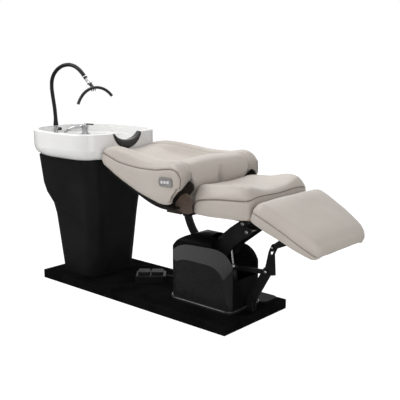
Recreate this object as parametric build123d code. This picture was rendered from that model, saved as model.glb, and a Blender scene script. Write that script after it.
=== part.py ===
from build123d import *
import math
import os

# Hair washing bed: basin on a pedestal, reclining bed on a lift, both on one base plate.
# Origin at the centre of the plate's underside, +X to the feet, +Y to the far side, +Z up.
# All sizes are in millimetres. The bed is drawn raised and reclined.

# Shared sizes
clearance = 0.3
soft_gap = 0.4
overrun = 40.0
root_overlap = 1.0
sweep_half = 420.0
arc_middle_share = 1 - math.sqrt(1 / 2)
axle_play = 0.06

# Base plate
plate_length = 1310.0
plate_width = 480.0
plate_height = 47.0
plate_sheet = 4.0
plate_edge_radius = 2.5
underplate_thickness = 5.0
end_cover_inset = 28.0
end_cover_y = 158.0
end_cover_length = 134.0
end_cover_width = 124.0
end_cover_height = 13.0
end_cover_corner = 34.0
end_cover_edge = 4.0

# Pedestal
pedestal_wall = 4.0
pedestal_rear_corner = 45.0
pedestal_front_corner = 75.0
pedestal_foot_rear_x = -593.0
pedestal_foot_front_x = -322.0
pedestal_foot_half = 160.0
pedestal_calf_z = 365.0
pedestal_calf_rear_x = -631.0
pedestal_calf_front_x = -286.0
pedestal_calf_half = 176.0
pedestal_step_z = 425.0
pedestal_step_rear_x = -647.0
pedestal_step_front_x = -280.0
pedestal_step_half = 182.0
pedestal_ledge_z = 482.0
pedestal_ledge_rear_x = -693.0
pedestal_ledge_front_x = -275.0
pedestal_ledge_half = 190.0
pedestal_shoulder_z = 535.0
pedestal_shoulder_rear_x = -710.0
pedestal_shoulder_front_x = -271.0
pedestal_shoulder_half = 197.0
pedestal_top_rear_x = -706.0
pedestal_top_front_x = -262.0
pedestal_top_half = 222.0
panel_half_width = 85.0
panel_low_z = 95.0
panel_high_z = 410.0

# Basin outline, rim to foot
basin_centre_x = -470.0
basin_rear = 350.0
basin_front = 262.0
basin_half = 275.0
basin_rear_power = 2.5
basin_front_power = 4.0
basin_outline_steps = 28
basin_rim_z = 830.0
basin_wall_z = 747.0
basin_turn_z = 716.0
basin_foot_z = 695.0
basin_turn_inset = 10.0
basin_foot_inset = 36.0
basin_rim_width = 23.0
basin_rim_radius = 6.0
basin_wall = 12.0
basin_floor_slab = 14.0
deck_z = 790.0
slab_opening_rear_x = -690.0
slab_opening_front_x = -255.0
slab_opening_half = 190.0

# Bowl
bowl_centre_x = -392.0
bowl_rear = 170.0
bowl_front = 156.0
bowl_half = 214.0
bowl_mid_z = 735.0
bowl_mid_inset = 20.0
bowl_low_z = 690.0
bowl_low_inset = 58.0
bowl_bottom_z = 652.0
bowl_bottom_inset = 105.0
drain_radius = 24.0

# Neck cut and neck rest
neck_half_width = 97.0
neck_tip_z = 826.0
neck_bottom_z = 745.0
neck_inner_z = 792.0
neck_rest_rear_x = -238.0
neck_rest_front_x = -197.0
neck_rest_edge = 3.0
neck_rest_horn = 8.0

# Waste and water
strainer_flange_radius = 32.0
strainer_flange = 3.0
strainer_tube_length = 46.0
strainer_slot = 5.0
strainer_turns = (0, 60, 120)
waste_radius = 20.0
waste_wall = 3.0
waste_trap_low_z = 490.0
waste_trap_high_z = 570.0
waste_trap_y = 60.0
waste_drop_y = 115.0
waste_bend = 26.0
waste_end_z = 8.0
waste_hole_radius = 27.0
hose_radius = 6.0
hose_bend = 26.0
hose_shelf_z = 730.0
hose_turn_z = 690.0
hose_side_y = 72.0
hose_foot_x = -488.0
hose_foot_y = 106.0
hose_mid_z = 480.0
hose_hole_radius = 10.0

# Pedestal frame
column_depth = 50.0
column_half_width = 40.0
column_wall = 5.0
column_front_x = -505.0
column_bend_z = 540.0
yoke_rear_x = -668.0
yoke_front_x = -350.0
yoke_half = 214.0
yoke_rail = 26.0
yoke_thickness = 12.0
foot_flange_rear_x = -566.0
foot_flange_front_x = -424.0
foot_flange_half = 86.0
foot_flange_thickness = 6.0
bolt_head_radius = 8.0
bolt_head_height = 5.5

# Gooseneck shower
gooseneck_x = -731.0
gooseneck_y = -60.0
gooseneck_foot_radius = 22.0
gooseneck_foot_flange = 5.0
gooseneck_body_radius = 12.5
gooseneck_body_top_z = 838.0
hose_points_x = (
    -731.0, -736.0, -747.0, -756.0, -753.0, -734.0, -696.0, -648.0, -594.0, -545.0, -505.0, -476.0, -451.0
)
hose_points_z = (
    880.0, 935.0, 990.0, 1042.0, 1086.0, 1121.0, 1152.0, 1171.0, 1177.0, 1168.0, 1148.0, 1124.0, 1102.0
)
sleeve_foot_radius = 14.5
sleeve_foot_length = 42.0
sleeve_radius = 10.5
valve_stem_radius = 6.0
valve_stem_length = 14.0
valve_knob_radius = 9.0
valve_knob_length = 16.0
valve_z = 820.0
clip_radius = 11.6
clip_length = 6.0
clip_setback = 17.0
ball_radius = 13.5
ball_reach = 33.0
arc_radius = 8.0
arc_half_chord = 118.0
arc_drop = 64.0
arc_tilt = 3.0
arc_roll = 8.5
arc_neck_length = 28.0
arc_neck_tilt = 41.0
ball_flat_share = 0.6
clip_gap = 0.9
arc_neck_radius = 8.5
hose_bend_share = 0.45
nozzle_radius = 2.6
nozzle_length = 9.0
nozzle_pitch = 12.0
nozzle_count = 3

# Basin mixer and hand shower
mixer_x = -596.0
mixer_y = 40.0
mixer_flange_radius = 26.0
mixer_flange = 5.0
mixer_radius = 17.0
mixer_top_z = 840.0
dome_radius = 16.8
dome_height = 14.0
lever_length = 70.0
lever_width = 15.0
lever_height = 6.5
lever_rise = 4.0
handset_radius = 8.5
handset_run_x = -86.0
handset_run_y = -58.0
handset_drop = 34.0
handset_fall_share = 0.75
handset_tip_share = 1.5
handset_head_radius = 13.0
handset_head_length = 26.0

# Lift linkage places, in the XZ plane
lift_pivot_x = 389.0
lift_pivot_z = 286.0
seat_pivot_x = 605.0
seat_pivot_z = 471.0
tie_bolt_x = 622.0
tie_bolt_z = 432.0
lift_travel = 25.0
arm_outer_y = 44.0
arm_thickness = 8.0
arm_head_radius = 29.0
arm_tip_radius = 20.0
arm_outline_x = (370.1, 523.0, 580.0, 644.0, 648.0, 544.2, 518.9, 497.0, 405.0)
arm_outline_z = (308.0, 438.8, 479.0, 452.0, 430.9, 351.9, 313.9, 291.0, 261.7)
arm_hole_radius = 5.0
lift_shaft_radius = 12.0
seat_shaft_radius = 9.0
cross_tube_x = 475.0
cross_tube_z = 371.0
cross_tube_radius = 14.0
cross_tube_wall = 3.0
dome_bolt_radius = 10.5
dome_bolt_height = 6.5
dome_bolt_share = 0.8
tie_bolt_radius = 6.0

# Lift actuator
cylinder_base_x = 517.0
cylinder_base_z = 105.0
cylinder_y = 16.0
cylinder_radius = 17.0
cylinder_length = 158.0
cylinder_bore = 11.5
rod_radius = 9.0
rod_eye_radius = 26.0
rod_eye_width = 16.0
rod_eye_play = 4.0
rod_gaiter_radius = 15.0
rod_gaiter_length = 26.0
rod_gaiter_start = 73.0

# Lift base frame
near_cheek_y = -46.0
far_cheek_y = 62.0
cheek_thickness = 7.0
cheek_foot_rear_x = 322.0
cheek_foot_front_x = 462.0
cheek_head_radius = 26.0
frame_floor_thickness = 6.0
frame_floor_rear_x = 215.0
frame_floor_front_x = 552.0
frame_floor_half = 88.0
frame_bolt_inset = 12.0
frame_bolt_front_x = 480.0
trunnion_thickness = 8.0
trunnion_gap = 2.0
trunnion_radius = 16.0

# Rear guide arm and its track
guide_centre_x = 421.0
guide_centre_z = 505.0
guide_radius = 245.0
guide_width = 44.0
guide_y = 40.0
guide_thickness = 12.0
guide_start_angle = 180.5
guide_end_angle = 243.0
guide_pin_angle = 238.5
guide_pin_radius = 8.0
track_thickness = 10.0
track_gap = 4.0
track_play = 0.6
track_margin_angle = 2.0
track_border = 16.0
track_lead_angle = 4.0
track_tail_angle = 3.0
track_foot_start = 48.0
track_foot_length = 64.0
track_foot_drop = 80.0

# Cover over the lift
cover_rear_x = 188.0
cover_front_x = 588.0
cover_half_width = 121.0
cover_rear_corner = 75.0
cover_front_corner = 34.0
cover_wall = 4.0
cover_flange_height = 14.0
cover_flange_reach = 8.0
cover_flange_lip = 5.0
arch_rear_x = 187.0
arch_front_x = 588.0
arch_shoulder_z = 262.0
arch_rear_top_x = 262.0
arch_rear_top_z = 320.0
arch_crown_x = 390.0
arch_crown_z = 334.0
arch_front_top_x = 540.0
arch_front_top_z = 321.0
bevel_rear_x = 212.0
bevel_front_x = 548.0
bevel_shoulder_z = 205.0
bevel_rear_top_x = 284.0
bevel_rear_top_z = 256.0
bevel_crown_x = 390.0
bevel_crown_z = 262.0
bevel_front_top_x = 505.0
bevel_front_top_z = 249.0
shell_inner_y = 97.0
hood_crown_x = 372.0
hood_crown_z = 388.0
hood_rear_top_x = 232.0
hood_rear_top_z = 338.0
hood_shoulder_z = 262.0
hood_edge_z = 345.0
hood_front_x = 452.0
hood_front_z = 380.0
hood_arm_slot_x = 412.0
hood_arm_slot_half = 49.0
nose_top_z = 200.0
guide_slot_rear_x = 205.0
guide_slot_front_x = 285.0
guide_slot_half = 11.0

# Leg linkage places, in the XZ plane
leg_hinge_x = 772.0
leg_hinge_z = 545.0
leg_hinge_radius = 6.0
leg_hinge_gap = 2.0
link_foot_x = 622.0
link_foot_z = 100.0
link_knee_x = 710.0
link_knee_z = 255.0
link_pin_x = 746.0
link_pin_z = 377.0
link_thickness = 10.0
link_foot_radius = 23.0
link_knee_half = 20.0
link_knee_bulge_x = 754.0
link_knee_bulge_z = 246.0
link_head_radius = 15.5
link_slot_half = 7.6
link_slot_run = 34.0
link_pin_radius = 4.0
link_neck_share = 0.5
link_neck_rise_share = 0.9
link_heel_share = 0.76
link_heel_drop_share = 0.66
knee_pin_radius = 6.0
knee_head_radius = 8.5
knee_head_height = 4.0
foot_pin_radius = 8.0
foot_lug_thickness = 8.0
foot_lug_radius = 18.0
drive_end_x = 521.0
drive_end_z = 240.0
drive_width = 22.0
drive_thickness = 6.0
drive_gap = 1.0
drive_play = 3.0

# Leg actuator
leg_cylinder_radius = 14.0
leg_cylinder_rear_x = 222.0
leg_cylinder_front_x = 430.0
leg_cylinder_y = -20.0
leg_rod_radius = 7.0
leg_rod_bore = 8.0
leg_rod_depth = 60.0
leg_rod_end_x = 508.0
leg_eye_radius = 9.0
leg_eye_lug_share = 1.6
leg_saddle_length = 50.0
leg_saddle_half = 12.0

# Seat
rail_y = 128.0
rail_width = 30.0
rail_height = 10.0
rail_low_z = 508.0
rail_rear_x = 206.0
spine_y = 62.0
spine_width = 15.0
spine_rear_x = 164.0
rail_front_x = 752.0
cross_bar_width = 26.0
mid_bar_x = 410.0
front_bar_x = 738.0
pivot_bar_width = 60.0
pivot_bar_height = 6.0
seat_lug_thickness = 8.0
seat_lug_gap = 1.0
seat_lug_radius = 18.0
seat_board_thickness = 11.4
seat_board_rear_x = 474.0
seat_board_front_x = 748.0
seat_board_half = 150.0
seat_bottom_z = 530.0
seat_rear_low_z = 520.0
seat_quarter_low_z = 521.0
seat_mid_low_z = 524.0
seat_lobe_low_z = 527.0
seat_nose_low_z = 529.0
seat_rear_x = 457.0
seat_front_x = 766.0
seat_quarter_x = 492.0
seat_mid_x = 600.0
seat_lobe_x = 690.0
seat_nose_x = 742.0
seat_rear_half = 214.0
seat_quarter_half = 223.0
seat_mid_half = 233.0
seat_lobe_half = 236.0
seat_nose_half = 232.0
seat_front_half = 222.0
seat_rear_top_z = 602.0
seat_quarter_top_z = 630.0
seat_mid_top_z = 662.0
seat_lobe_top_z = 673.0
seat_nose_top_z = 661.0
seat_front_top_z = 628.0
seat_dish = 20.0
seat_tuck = 14.0
seat_side_share = 0.5
seat_shoulder_share = 0.8
seat_dip_share = 0.42
seat_dip_depth_share = 0.72
seat_round_share = 0.6
seat_lobe_share = 0.79
seat_dish_shares = (0.3, 0.5, 1, 1.3, 1, 0.3)
gusset_rear_x = 392.0
gusset_front_x = 456.0
gusset_half = 196.0
gusset_top_z = 541.0
gusset_edge = 8.0
rest_block_x = 212.0
rest_block_length = 92.0
rest_block_width = 26.0
rest_block_height = 22.0

# Back hinge, on the seat frame
back_hinge_x = 410.0
back_hinge_z = 612.0
back_hinge_radius = 9.0
hinge_lug_inner_y = 218.0
hinge_lug_thickness = 6.0
hinge_lug_half = 17.0
hinge_cover_gap = 1.2
hinge_cover_thickness = 8.5
hinge_cover_radius = 25.0
hinge_cover_top_x = 441.0
hinge_cover_top_z = 648.0
hinge_cover_low_x = 366.0
hinge_cover_low_z = 572.0

# Backrest
back_head_x = -196.0
back_front_x = 438.0
back_under_head_z = 683.0
back_under_neck_x = 8.0
back_under_neck_z = 611.0
back_under_front_x = 380.0
back_under_front_z = 549.0
back_under_steps = 8
back_hollow_front_x = 296.0
back_head_top_z = 748.0
back_neck_top_z = 726.0
back_low_top_z = 690.0
back_deep_top_z = 684.0
back_lumbar_top_z = 706.0
back_edge_rise = 18.0
back_sections_count = 5
roll_rear_x = 297.0
roll_crest_x = 372.0
roll_crest_z = 766.0
roll_front_x = 432.0
roll_front_z = 728.0
roll_foot_x = 440.0
roll_foot_z = 640.0
roll_rear_z = 708.0
roll_low_front_x = 422.0
roll_half = 244.0
roll_turn_y = 206.0
roll_shoulder_y = 140.0
roll_end_drop = 46.0
roll_turn_drop = 27.0
roll_shoulder_drop = 9.0
roll_rear_drop_share = 0.5
roll_belly = 2.0
shell_rear_x = -150.0
shell_front_x = 388.0
shell_thin = 7.0
shell_thick = 20.0
shell_inset = 9.0
shell_depth_shares = (0, 0, 0, 0.15, 0.6, 1, 0.9, 0)

# Wings, the padded sides of the backrest that serve as armrests
wing_head_x = -192.0
wing_front_x = 432.0
wing_outer_head = 190.0
wing_outer_growth = 0.178
wing_inner_head = 139.0
wing_inner_growth = 0.11
wing_low_z = 545.0
wing_high_z = 770.0
wing_along_shares = (0, 0.16, 0.32, 0.48, 0.64, 0.80, 0.92, 1)
wing_under_shares = (0.61, 0.44, 0.29, 0.20, 0.12, 0.06, 0.14, 0.46)
wing_seam_shares = (0.84, 0.77, 0.72, 0.69, 0.69, 0.75, 0.80, 0.70)
wing_ridge_shares = (0.94, 0.98, 0.94, 0.89, 0.84, 0.88, 0.96, 0.84)
wing_inner_drop = 22.0
wing_tuck = 10.0
wing_ridge_share = 0.55
wing_bulge_share = 0.4
wing_bulge_tuck_share = 0.1
recess_run = 74.0
recess_rise = 16.0

# Control panel on the near wing
panel_x = 348.0
panel_z = 665.0
panel_length = 98.0
panel_height = 40.0
panel_thickness = 9.0
panel_sink = 4.0
panel_corner = 15.0
panel_tilt = 5.0
button_count = 3
button_pitch = 23.0
button_width = 15.0
button_height = 13.0
button_proud = 2.5
button_depth = 4.0
button_play = 0.35
button_travel = 1.4
button_corner = 3.0

# Legrest, drawn flat along its own length and then tilted
legrest_tilt = 23.0
legrest_under = 9.0
legrest_length = 338.0
legrest_root_s = -5.0
legrest_swell_s = 40.0
legrest_mid_s = 160.0
legrest_toe_s = 285.0
legrest_root_half = 226.0
legrest_swell_half = 236.0
legrest_mid_half = 228.0
legrest_toe_half = 208.0
legrest_tip_half = 184.0
legrest_root_top = 74.0
legrest_swell_top = 96.0
legrest_mid_top = 90.0
legrest_toe_top = 82.0
legrest_tip_top = 58.0
legrest_tip_low = 17.0
legrest_crown = 5.0
legrest_flat_share = 0.86
legrest_tuck = 9.0
legrest_side_share = 0.45
legrest_shoulder_share = 0.82
legrest_shoulder_tuck_share = 0.5
leg_board_thickness = 12.0
leg_board_root_s = 12.0
leg_board_tip_s = 292.0
leg_board_half = 178.0
leg_strap_y = 105.0
leg_strap_width = 22.0
leg_strap_thickness = 5.0
bracket_cheek = 5.0
bracket_gap = 2.0
bracket_root_s = 118.0
bracket_tip_s = 205.0
bracket_head_radius = 11.0
bracket_tail_run = 12.0
bracket_tail_half = 9.5
bracket_root_share = 0.3
bracket_side_share = 0.95
bracket_flange_reach = 3.0

# Foot switch and its cable
switch_x = -64.0
switch_y = 19.0
switch_turn = 41.0
switch_length = 160.0
switch_width = 104.0
switch_height = 36.0
switch_corner = 14.0
switch_edge = 5.0
pedal_length = 64.0
pedal_width = 66.0
pedal_thickness = 12.0
pedal_gap = 6.0
pedal_lift = 5.0
pedal_corner = 8.0
pedal_edge = 4.0
pedal_pin_radius = 2.5
pedal_lug = 5.0
pedal_lug_height = 14.0
pedal_pin_rise = 5.5
pedal_slot_gap = 1.5
gland_radius = 6.0
gland_length = 14.0
gland_z = 60.0
gland_y = 25.0
cable_radius = 3.5
cable_points_x = (52.0, 98.0, 138.0, 168.0, 200.0)
cable_points_y = (134.0, 130.0, 108.0, 86.0, 72.0)
cable_points_z = (51.5, 51.0, 53.0, 64.0, 70.0)
cable_lead = 36.0


def box_between(x0, x1, y0, y1, z0, z1):
    centre = Pos((x0 + x1) / 2, (y0 + y1) / 2, (z0 + z1) / 2)
    return centre * Box(x1 - x0, y1 - y0, z1 - z0)


def rounded_box(x0, x1, y0, y1, z0, z1, corner):
    block = box_between(x0, x1, y0, y1, z0, z1)
    return fillet(block.edges().filter_by(Axis.Z), corner)


def rod(start, end, radius):
    axis = Vector(*end) - Vector(*start)
    return Solid.make_cylinder(radius, axis.length, Plane(origin=start, z_dir=axis))


def rod_y(x, z, radius, y0, y1):
    return rod((x, y0, z), (x, y1, z), radius)


def plate_xz(points, y0, y1):
    outline = Polyline(*[(x, y0, z) for x, z in points], close=True)
    return extrude(make_face(outline), y1 - y0, dir=(0, 1, 0))


def bar_xz(start, end, half, y0, y1):
    along = math.atan2(end[1] - start[1], end[0] - start[0])
    dx = -half * math.sin(along)
    dz = half * math.cos(along)
    corners = [
        (start[0] + dx, start[1] + dz),
        (end[0] + dx, end[1] + dz),
        (end[0] - dx, end[1] - dz),
        (start[0] - dx, start[1] - dz),
    ]
    web = plate_xz(corners, y0, y1)
    return web + rod_y(start[0], start[1], half, y0, y1) + rod_y(end[0], end[1], half, y0, y1)


def superellipse_wire(centre, rear, front, half, rear_power, front_power, steps, z):
    points = []
    for step in range(steps):
        angle = math.tau * step / steps
        c = math.cos(angle)
        s = math.sin(angle)
        reach = front if c > 0 else rear
        power = front_power if c > 0 else rear_power
        x = centre[0] + reach * math.copysign(abs(c) ** (2 / power), c)
        y = centre[1] + half * math.copysign(abs(s) ** (2 / power), s)
        points.append((x, y, z))
    return Wire([Spline(*points, periodic=True)])


def rounded_plan_face(x0, x1, half, rear_corner, front_corner, z):
    corners = ((x0, -half, z), (x1, -half, z), (x1, half, z), (x0, half, z))
    radii = (rear_corner, front_corner, front_corner, rear_corner)
    pieces = []
    for index in range(len(corners)):
        before = Vector(*corners[index - 1])
        corner = Vector(*corners[index])
        after = Vector(*corners[(index + 1) % len(corners)])
        inward = (before - corner).normalized() + (after - corner).normalized()
        start = corner + (before - corner).normalized() * radii[index]
        end = corner + (after - corner).normalized() * radii[index]
        middle = corner + inward * arc_middle_share * radii[index]
        pieces.append((start, middle, end))
    edges = []
    for index, (start, middle, end) in enumerate(pieces):
        edges.append(ThreePointArc(start, middle, end))
        edges.append(Line(end, pieces[(index + 1) % len(pieces)][0]))
    return make_face(Wire(edges))


def tube_along(points, radii, radius, wall=0):
    path = FilletPolyline(*points, radius=radii)
    section = Plane(origin=path @ 0, z_dir=path % 0) * Circle(radius)
    if wall:
        section = section - Plane(origin=path @ 0, z_dir=path % 0) * Circle(radius - wall)
    return sweep(section, path=path)


def write(name, shape):
    if isinstance(shape, (list, tuple)):
        shape = Compound(children=list(shape))
    shape.label = name
    export_step(shape, f"parts/{name}.step")


# Base
def base_plate():
    half_length = plate_length / 2
    half_width = plate_width / 2
    outer = box_between(-half_length, half_length, -half_width, half_width, 0, plate_height)
    outer = fillet(outer.edges().group_by(Axis.Z)[-1], plate_edge_radius)
    inner = box_between(
        plate_sheet - half_length,
        half_length - plate_sheet,
        plate_sheet - half_width,
        half_width - plate_sheet,
        -overrun,
        plate_height - plate_sheet,
    )
    return outer - inner - service_holes()


def base_underplate():
    half_length = plate_length / 2 - plate_sheet - clearance
    half_width = plate_width / 2 - plate_sheet - clearance
    plate = box_between(-half_length, half_length, -half_width, half_width, 0, underplate_thickness)
    return plate - service_holes()


def service_holes():
    top = plate_height + overrun
    holes = rod((bowl_centre_x, waste_drop_y, -overrun), (bowl_centre_x, waste_drop_y, top), waste_hole_radius)
    for side in (-1, 1):
        y = side * hose_foot_y
        holes += rod((hose_foot_x, y, -overrun), (hose_foot_x, y, top), hose_hole_radius)
    return holes


def end_cover():
    front_x = plate_length / 2 - end_cover_inset
    block = rounded_box(
        front_x - end_cover_length,
        front_x,
        end_cover_y - end_cover_width / 2,
        end_cover_y + end_cover_width / 2,
        plate_height,
        plate_height + end_cover_height,
        end_cover_corner,
    )
    block = fillet(block.edges().group_by(Axis.Z)[-1], end_cover_edge)
    return block - extrude(cover_plan(-cover_flange_reach - clearance, 0), plate_height * 2, dir=(0, 0, 1))


# Pedestal
def pedestal_solid(inset, low_z, high_z):
    faces = []
    for z, rear, front, half in (
        (low_z, pedestal_foot_rear_x, pedestal_foot_front_x, pedestal_foot_half),
        (pedestal_calf_z, pedestal_calf_rear_x, pedestal_calf_front_x, pedestal_calf_half),
        (pedestal_step_z, pedestal_step_rear_x, pedestal_step_front_x, pedestal_step_half),
        (pedestal_ledge_z, pedestal_ledge_rear_x, pedestal_ledge_front_x, pedestal_ledge_half),
        (pedestal_shoulder_z, pedestal_shoulder_rear_x, pedestal_shoulder_front_x, pedestal_shoulder_half),
        (high_z, pedestal_top_rear_x, pedestal_top_front_x, pedestal_top_half),
    ):
        faces.append(
            rounded_plan_face(
                rear + inset,
                front - inset,
                half - inset,
                pedestal_rear_corner - inset,
                pedestal_front_corner - inset,
                z,
            )
        )
    return loft(faces, ruled=True)


def pedestal_hollow():
    low = plate_height
    high = basin_foot_z - clearance
    shell = pedestal_solid(0, low, high) - pedestal_solid(pedestal_wall, low, high)
    return shell


def service_window(extra):
    return box_between(
        pedestal_top_rear_x,
        pedestal_foot_rear_x + pedestal_rear_corner,
        -panel_half_width - extra,
        panel_half_width + extra,
        panel_low_z - extra,
        panel_high_z + extra,
    )


def pedestal_frame():
    top = basin_foot_z - clearance
    low = plate_height + foot_flange_thickness
    outline = [
        (column_front_x, low),
        (column_front_x - column_depth, low),
        (column_front_x - column_depth - yoke_rail, column_bend_z),
        (yoke_rear_x, top - yoke_thickness),
        (yoke_rear_x + column_depth, top - yoke_thickness),
        (column_front_x - yoke_rail, column_bend_z),
    ]
    column = plate_xz(outline, -column_half_width, column_half_width)
    face = make_face(Polyline(*[(x, 0, z) for x, z in outline], close=True))
    hollow_face = offset(face, -column_wall)
    depth = column_half_width - column_wall
    hollow = extrude(hollow_face, depth, dir=(0, 1, 0)) + extrude(hollow_face, depth, dir=(0, -1, 0))
    yoke = box_between(yoke_rear_x, yoke_front_x, -yoke_half, yoke_half, top - yoke_thickness, top)
    yoke -= box_between(
        yoke_rear_x + column_depth,
        yoke_front_x + overrun,
        yoke_rail - yoke_half,
        yoke_half - yoke_rail,
        top - yoke_thickness - overrun,
        top + overrun,
    )
    foot = box_between(
        foot_flange_rear_x,
        foot_flange_front_x,
        -foot_flange_half,
        foot_flange_half,
        plate_height,
        low,
    )
    return column - hollow + yoke + foot


def frame_bolts():
    heads = []
    flange_top = plate_height + foot_flange_thickness
    for x in (foot_flange_rear_x + 2 * bolt_head_radius, foot_flange_front_x - 2 * bolt_head_radius):
        y = foot_flange_half - 2 * bolt_head_radius
        heads.append(rod((x, y, flange_top), (x, y, flange_top + bolt_head_height), bolt_head_radius))
    x = foot_flange_rear_x + 2 * bolt_head_radius
    y = 2 * bolt_head_radius - foot_flange_half
    heads.append(rod((x, y, flange_top), (x, y, flange_top + bolt_head_height), bolt_head_radius))
    floor_top = plate_height + frame_floor_thickness
    for x in (frame_floor_rear_x + 2 * bolt_head_radius, frame_bolt_front_x):
        for side in (-1, 1):
            y = side * (frame_floor_half - frame_bolt_inset)
            heads.append(rod((x, y, floor_top), (x, y, floor_top + bolt_head_height), bolt_head_radius))
    return heads


# Basin
def basin_section(inset, z):
    return superellipse_wire(
        (basin_centre_x, 0),
        basin_rear - inset,
        basin_front - inset,
        basin_half - inset,
        basin_rear_power,
        basin_front_power,
        basin_outline_steps,
        z,
    )


def bowl_section(inset, z):
    return superellipse_wire(
        (bowl_centre_x, 0),
        bowl_rear - inset,
        bowl_front - inset,
        bowl_half - inset,
        basin_rear_power,
        basin_rear_power,
        basin_outline_steps,
        z,
    )


def neck_circle(bottom_z, extra):
    rise = neck_tip_z - bottom_z
    radius = (neck_half_width**2 + rise**2) / (2 * rise)
    return radius + extra, bottom_z + radius


def basin():
    outer = Solid.make_loft(
        [
            basin_section(basin_foot_inset, basin_foot_z),
            basin_section(basin_turn_inset, basin_turn_z),
            basin_section(0, basin_wall_z),
        ]
    )
    wall_face = make_face(basin_section(0, basin_wall_z))
    wall = extrude(wall_face, basin_rim_z - basin_wall_z, dir=(0, 0, 1))
    wall = fillet(wall.edges().group_by(Axis.Z)[-1], basin_rim_radius)
    body = outer + wall
    slab_top = basin_foot_z + basin_floor_slab
    under_face = make_face(basin_section(basin_foot_inset + basin_wall, slab_top))
    body -= extrude(under_face, deck_z - basin_wall - slab_top, dir=(0, 0, 1))
    body -= box_between(
        slab_opening_rear_x,
        slab_opening_front_x,
        -slab_opening_half,
        slab_opening_half,
        basin_foot_z - overrun,
        slab_top + clearance,
    )
    bowl_outer = Solid.make_loft(
        [
            bowl_section(bowl_bottom_inset - basin_wall, bowl_bottom_z - basin_wall),
            bowl_section(bowl_low_inset - basin_wall, bowl_low_z - basin_wall),
            bowl_section(bowl_mid_inset - basin_wall, bowl_mid_z),
            bowl_section(-basin_wall, deck_z),
        ]
    )
    body += bowl_outer
    recess = extrude(make_face(basin_section(basin_rim_width, deck_z)), overrun * 2, dir=(0, 0, 1))
    body -= recess
    bowl_inner = Solid.make_loft(
        [
            bowl_section(bowl_bottom_inset, bowl_bottom_z),
            bowl_section(bowl_low_inset, bowl_low_z),
            bowl_section(bowl_mid_inset, bowl_mid_z),
            bowl_section(0, deck_z),
        ]
    )
    body -= bowl_inner
    lift_cut = extrude(make_face(bowl_section(0, deck_z)), overrun, dir=(0, 0, 1))
    body -= lift_cut
    body -= rod(
        (bowl_centre_x, 0, bowl_bottom_z - overrun), (bowl_centre_x, 0, deck_z), drain_radius
    )
    radius, centre_z = neck_circle(neck_bottom_z, clearance)
    body -= rod(
        (neck_rest_rear_x - overrun / 4, 0, centre_z), (neck_rest_front_x + overrun, 0, centre_z), radius
    )
    under_deck = deck_z - basin_wall - overrun
    body -= rod((mixer_x, mixer_y, under_deck), (mixer_x, mixer_y, deck_z + overrun), 2 * hose_radius)
    body -= rod(
        (gooseneck_x, gooseneck_y, under_deck), (gooseneck_x, gooseneck_y, deck_z + overrun), 2 * hose_radius
    )
    return body


def neck_rest():
    outer_radius, outer_z = neck_circle(neck_bottom_z, 0)
    inner_radius, inner_z = neck_circle(neck_inner_z, 0)
    pad = rod((neck_rest_rear_x, 0, outer_z), (neck_rest_front_x, 0, outer_z), outer_radius)
    pad -= rod((neck_rest_rear_x - overrun, 0, inner_z), (neck_rest_front_x + overrun, 0, inner_z), inner_radius)
    tip_cut = box_between(
        neck_rest_rear_x - overrun,
        neck_rest_front_x + overrun,
        -basin_half,
        basin_half,
        neck_tip_z - neck_rest_horn,
        neck_tip_z + outer_radius,
    )
    pad -= tip_cut
    edges = pad.edges().filter_by(GeomType.CIRCLE)
    return fillet(edges, neck_rest_edge)


def drain_strainer():
    top = bowl_bottom_z + strainer_flange
    body = rod((bowl_centre_x, 0, bowl_bottom_z), (bowl_centre_x, 0, top), strainer_flange_radius)
    tube_radius = drain_radius - clearance
    end = bowl_bottom_z - strainer_tube_length
    body += rod((bowl_centre_x, 0, end), (bowl_centre_x, 0, top), tube_radius)
    body -= rod(
        (bowl_centre_x, 0, end - overrun), (bowl_centre_x, 0, bowl_bottom_z), tube_radius - waste_wall
    )
    for turn in strainer_turns:
        slot = Box(2 * tube_radius - 2 * waste_wall, strainer_slot, 2 * overrun)
        body -= Pos(bowl_centre_x, 0, top) * Rot(0, 0, turn) * slot
    nut_top = bowl_bottom_z - basin_wall
    nut = rod((bowl_centre_x, 0, nut_top - basin_wall), (bowl_centre_x, 0, nut_top), strainer_flange_radius)
    nut -= rod((bowl_centre_x, 0, end), (bowl_centre_x, 0, top), tube_radius - waste_wall)
    return body + nut


def waste_trap():
    top = bowl_bottom_z - strainer_tube_length
    x = bowl_centre_x
    points = [
        (x, 0, top),
        (x, 0, waste_trap_low_z),
        (x, waste_trap_y, waste_trap_low_z),
        (x, waste_trap_y, waste_trap_high_z),
        (x, waste_drop_y, waste_trap_high_z),
        (x, waste_drop_y, waste_end_z),
    ]
    return tube_along(points, waste_bend, waste_radius, waste_wall)


def supply_hoses():
    top = deck_z - basin_wall
    near_points = [
        (gooseneck_x, gooseneck_y, top),
        (gooseneck_x, gooseneck_y, hose_shelf_z),
        (mixer_x, -hose_side_y, hose_shelf_z),
        (hose_foot_x, -hose_foot_y, hose_mid_z),
        (hose_foot_x, -hose_foot_y, waste_end_z),
    ]
    far_points = [
        (mixer_x, mixer_y, top),
        (mixer_x, mixer_y, hose_shelf_z + hose_bend / 2),
        (mixer_x, hose_side_y, hose_turn_z),
        (hose_foot_x, hose_foot_y, hose_mid_z),
        (hose_foot_x, hose_foot_y, waste_end_z),
    ]
    hoses = []
    for points in (near_points, far_points):
        bends = [min(hose_bend, limit) for limit in arc_limit_radii(points)]
        hoses.append(tube_along(points, bends, hose_radius))
    return hoses


# Gooseneck shower
def gooseneck_foot():
    x = gooseneck_x
    y = gooseneck_y
    body = rod((x, y, deck_z), (x, y, deck_z + gooseneck_foot_flange), gooseneck_foot_radius)
    body += rod((x, y, deck_z), (x, y, gooseneck_body_top_z), gooseneck_body_radius)
    stem_end = x + gooseneck_body_radius + valve_stem_length
    body += rod((x, y, valve_z), (stem_end, y, valve_z), valve_stem_radius)
    return body


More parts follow.
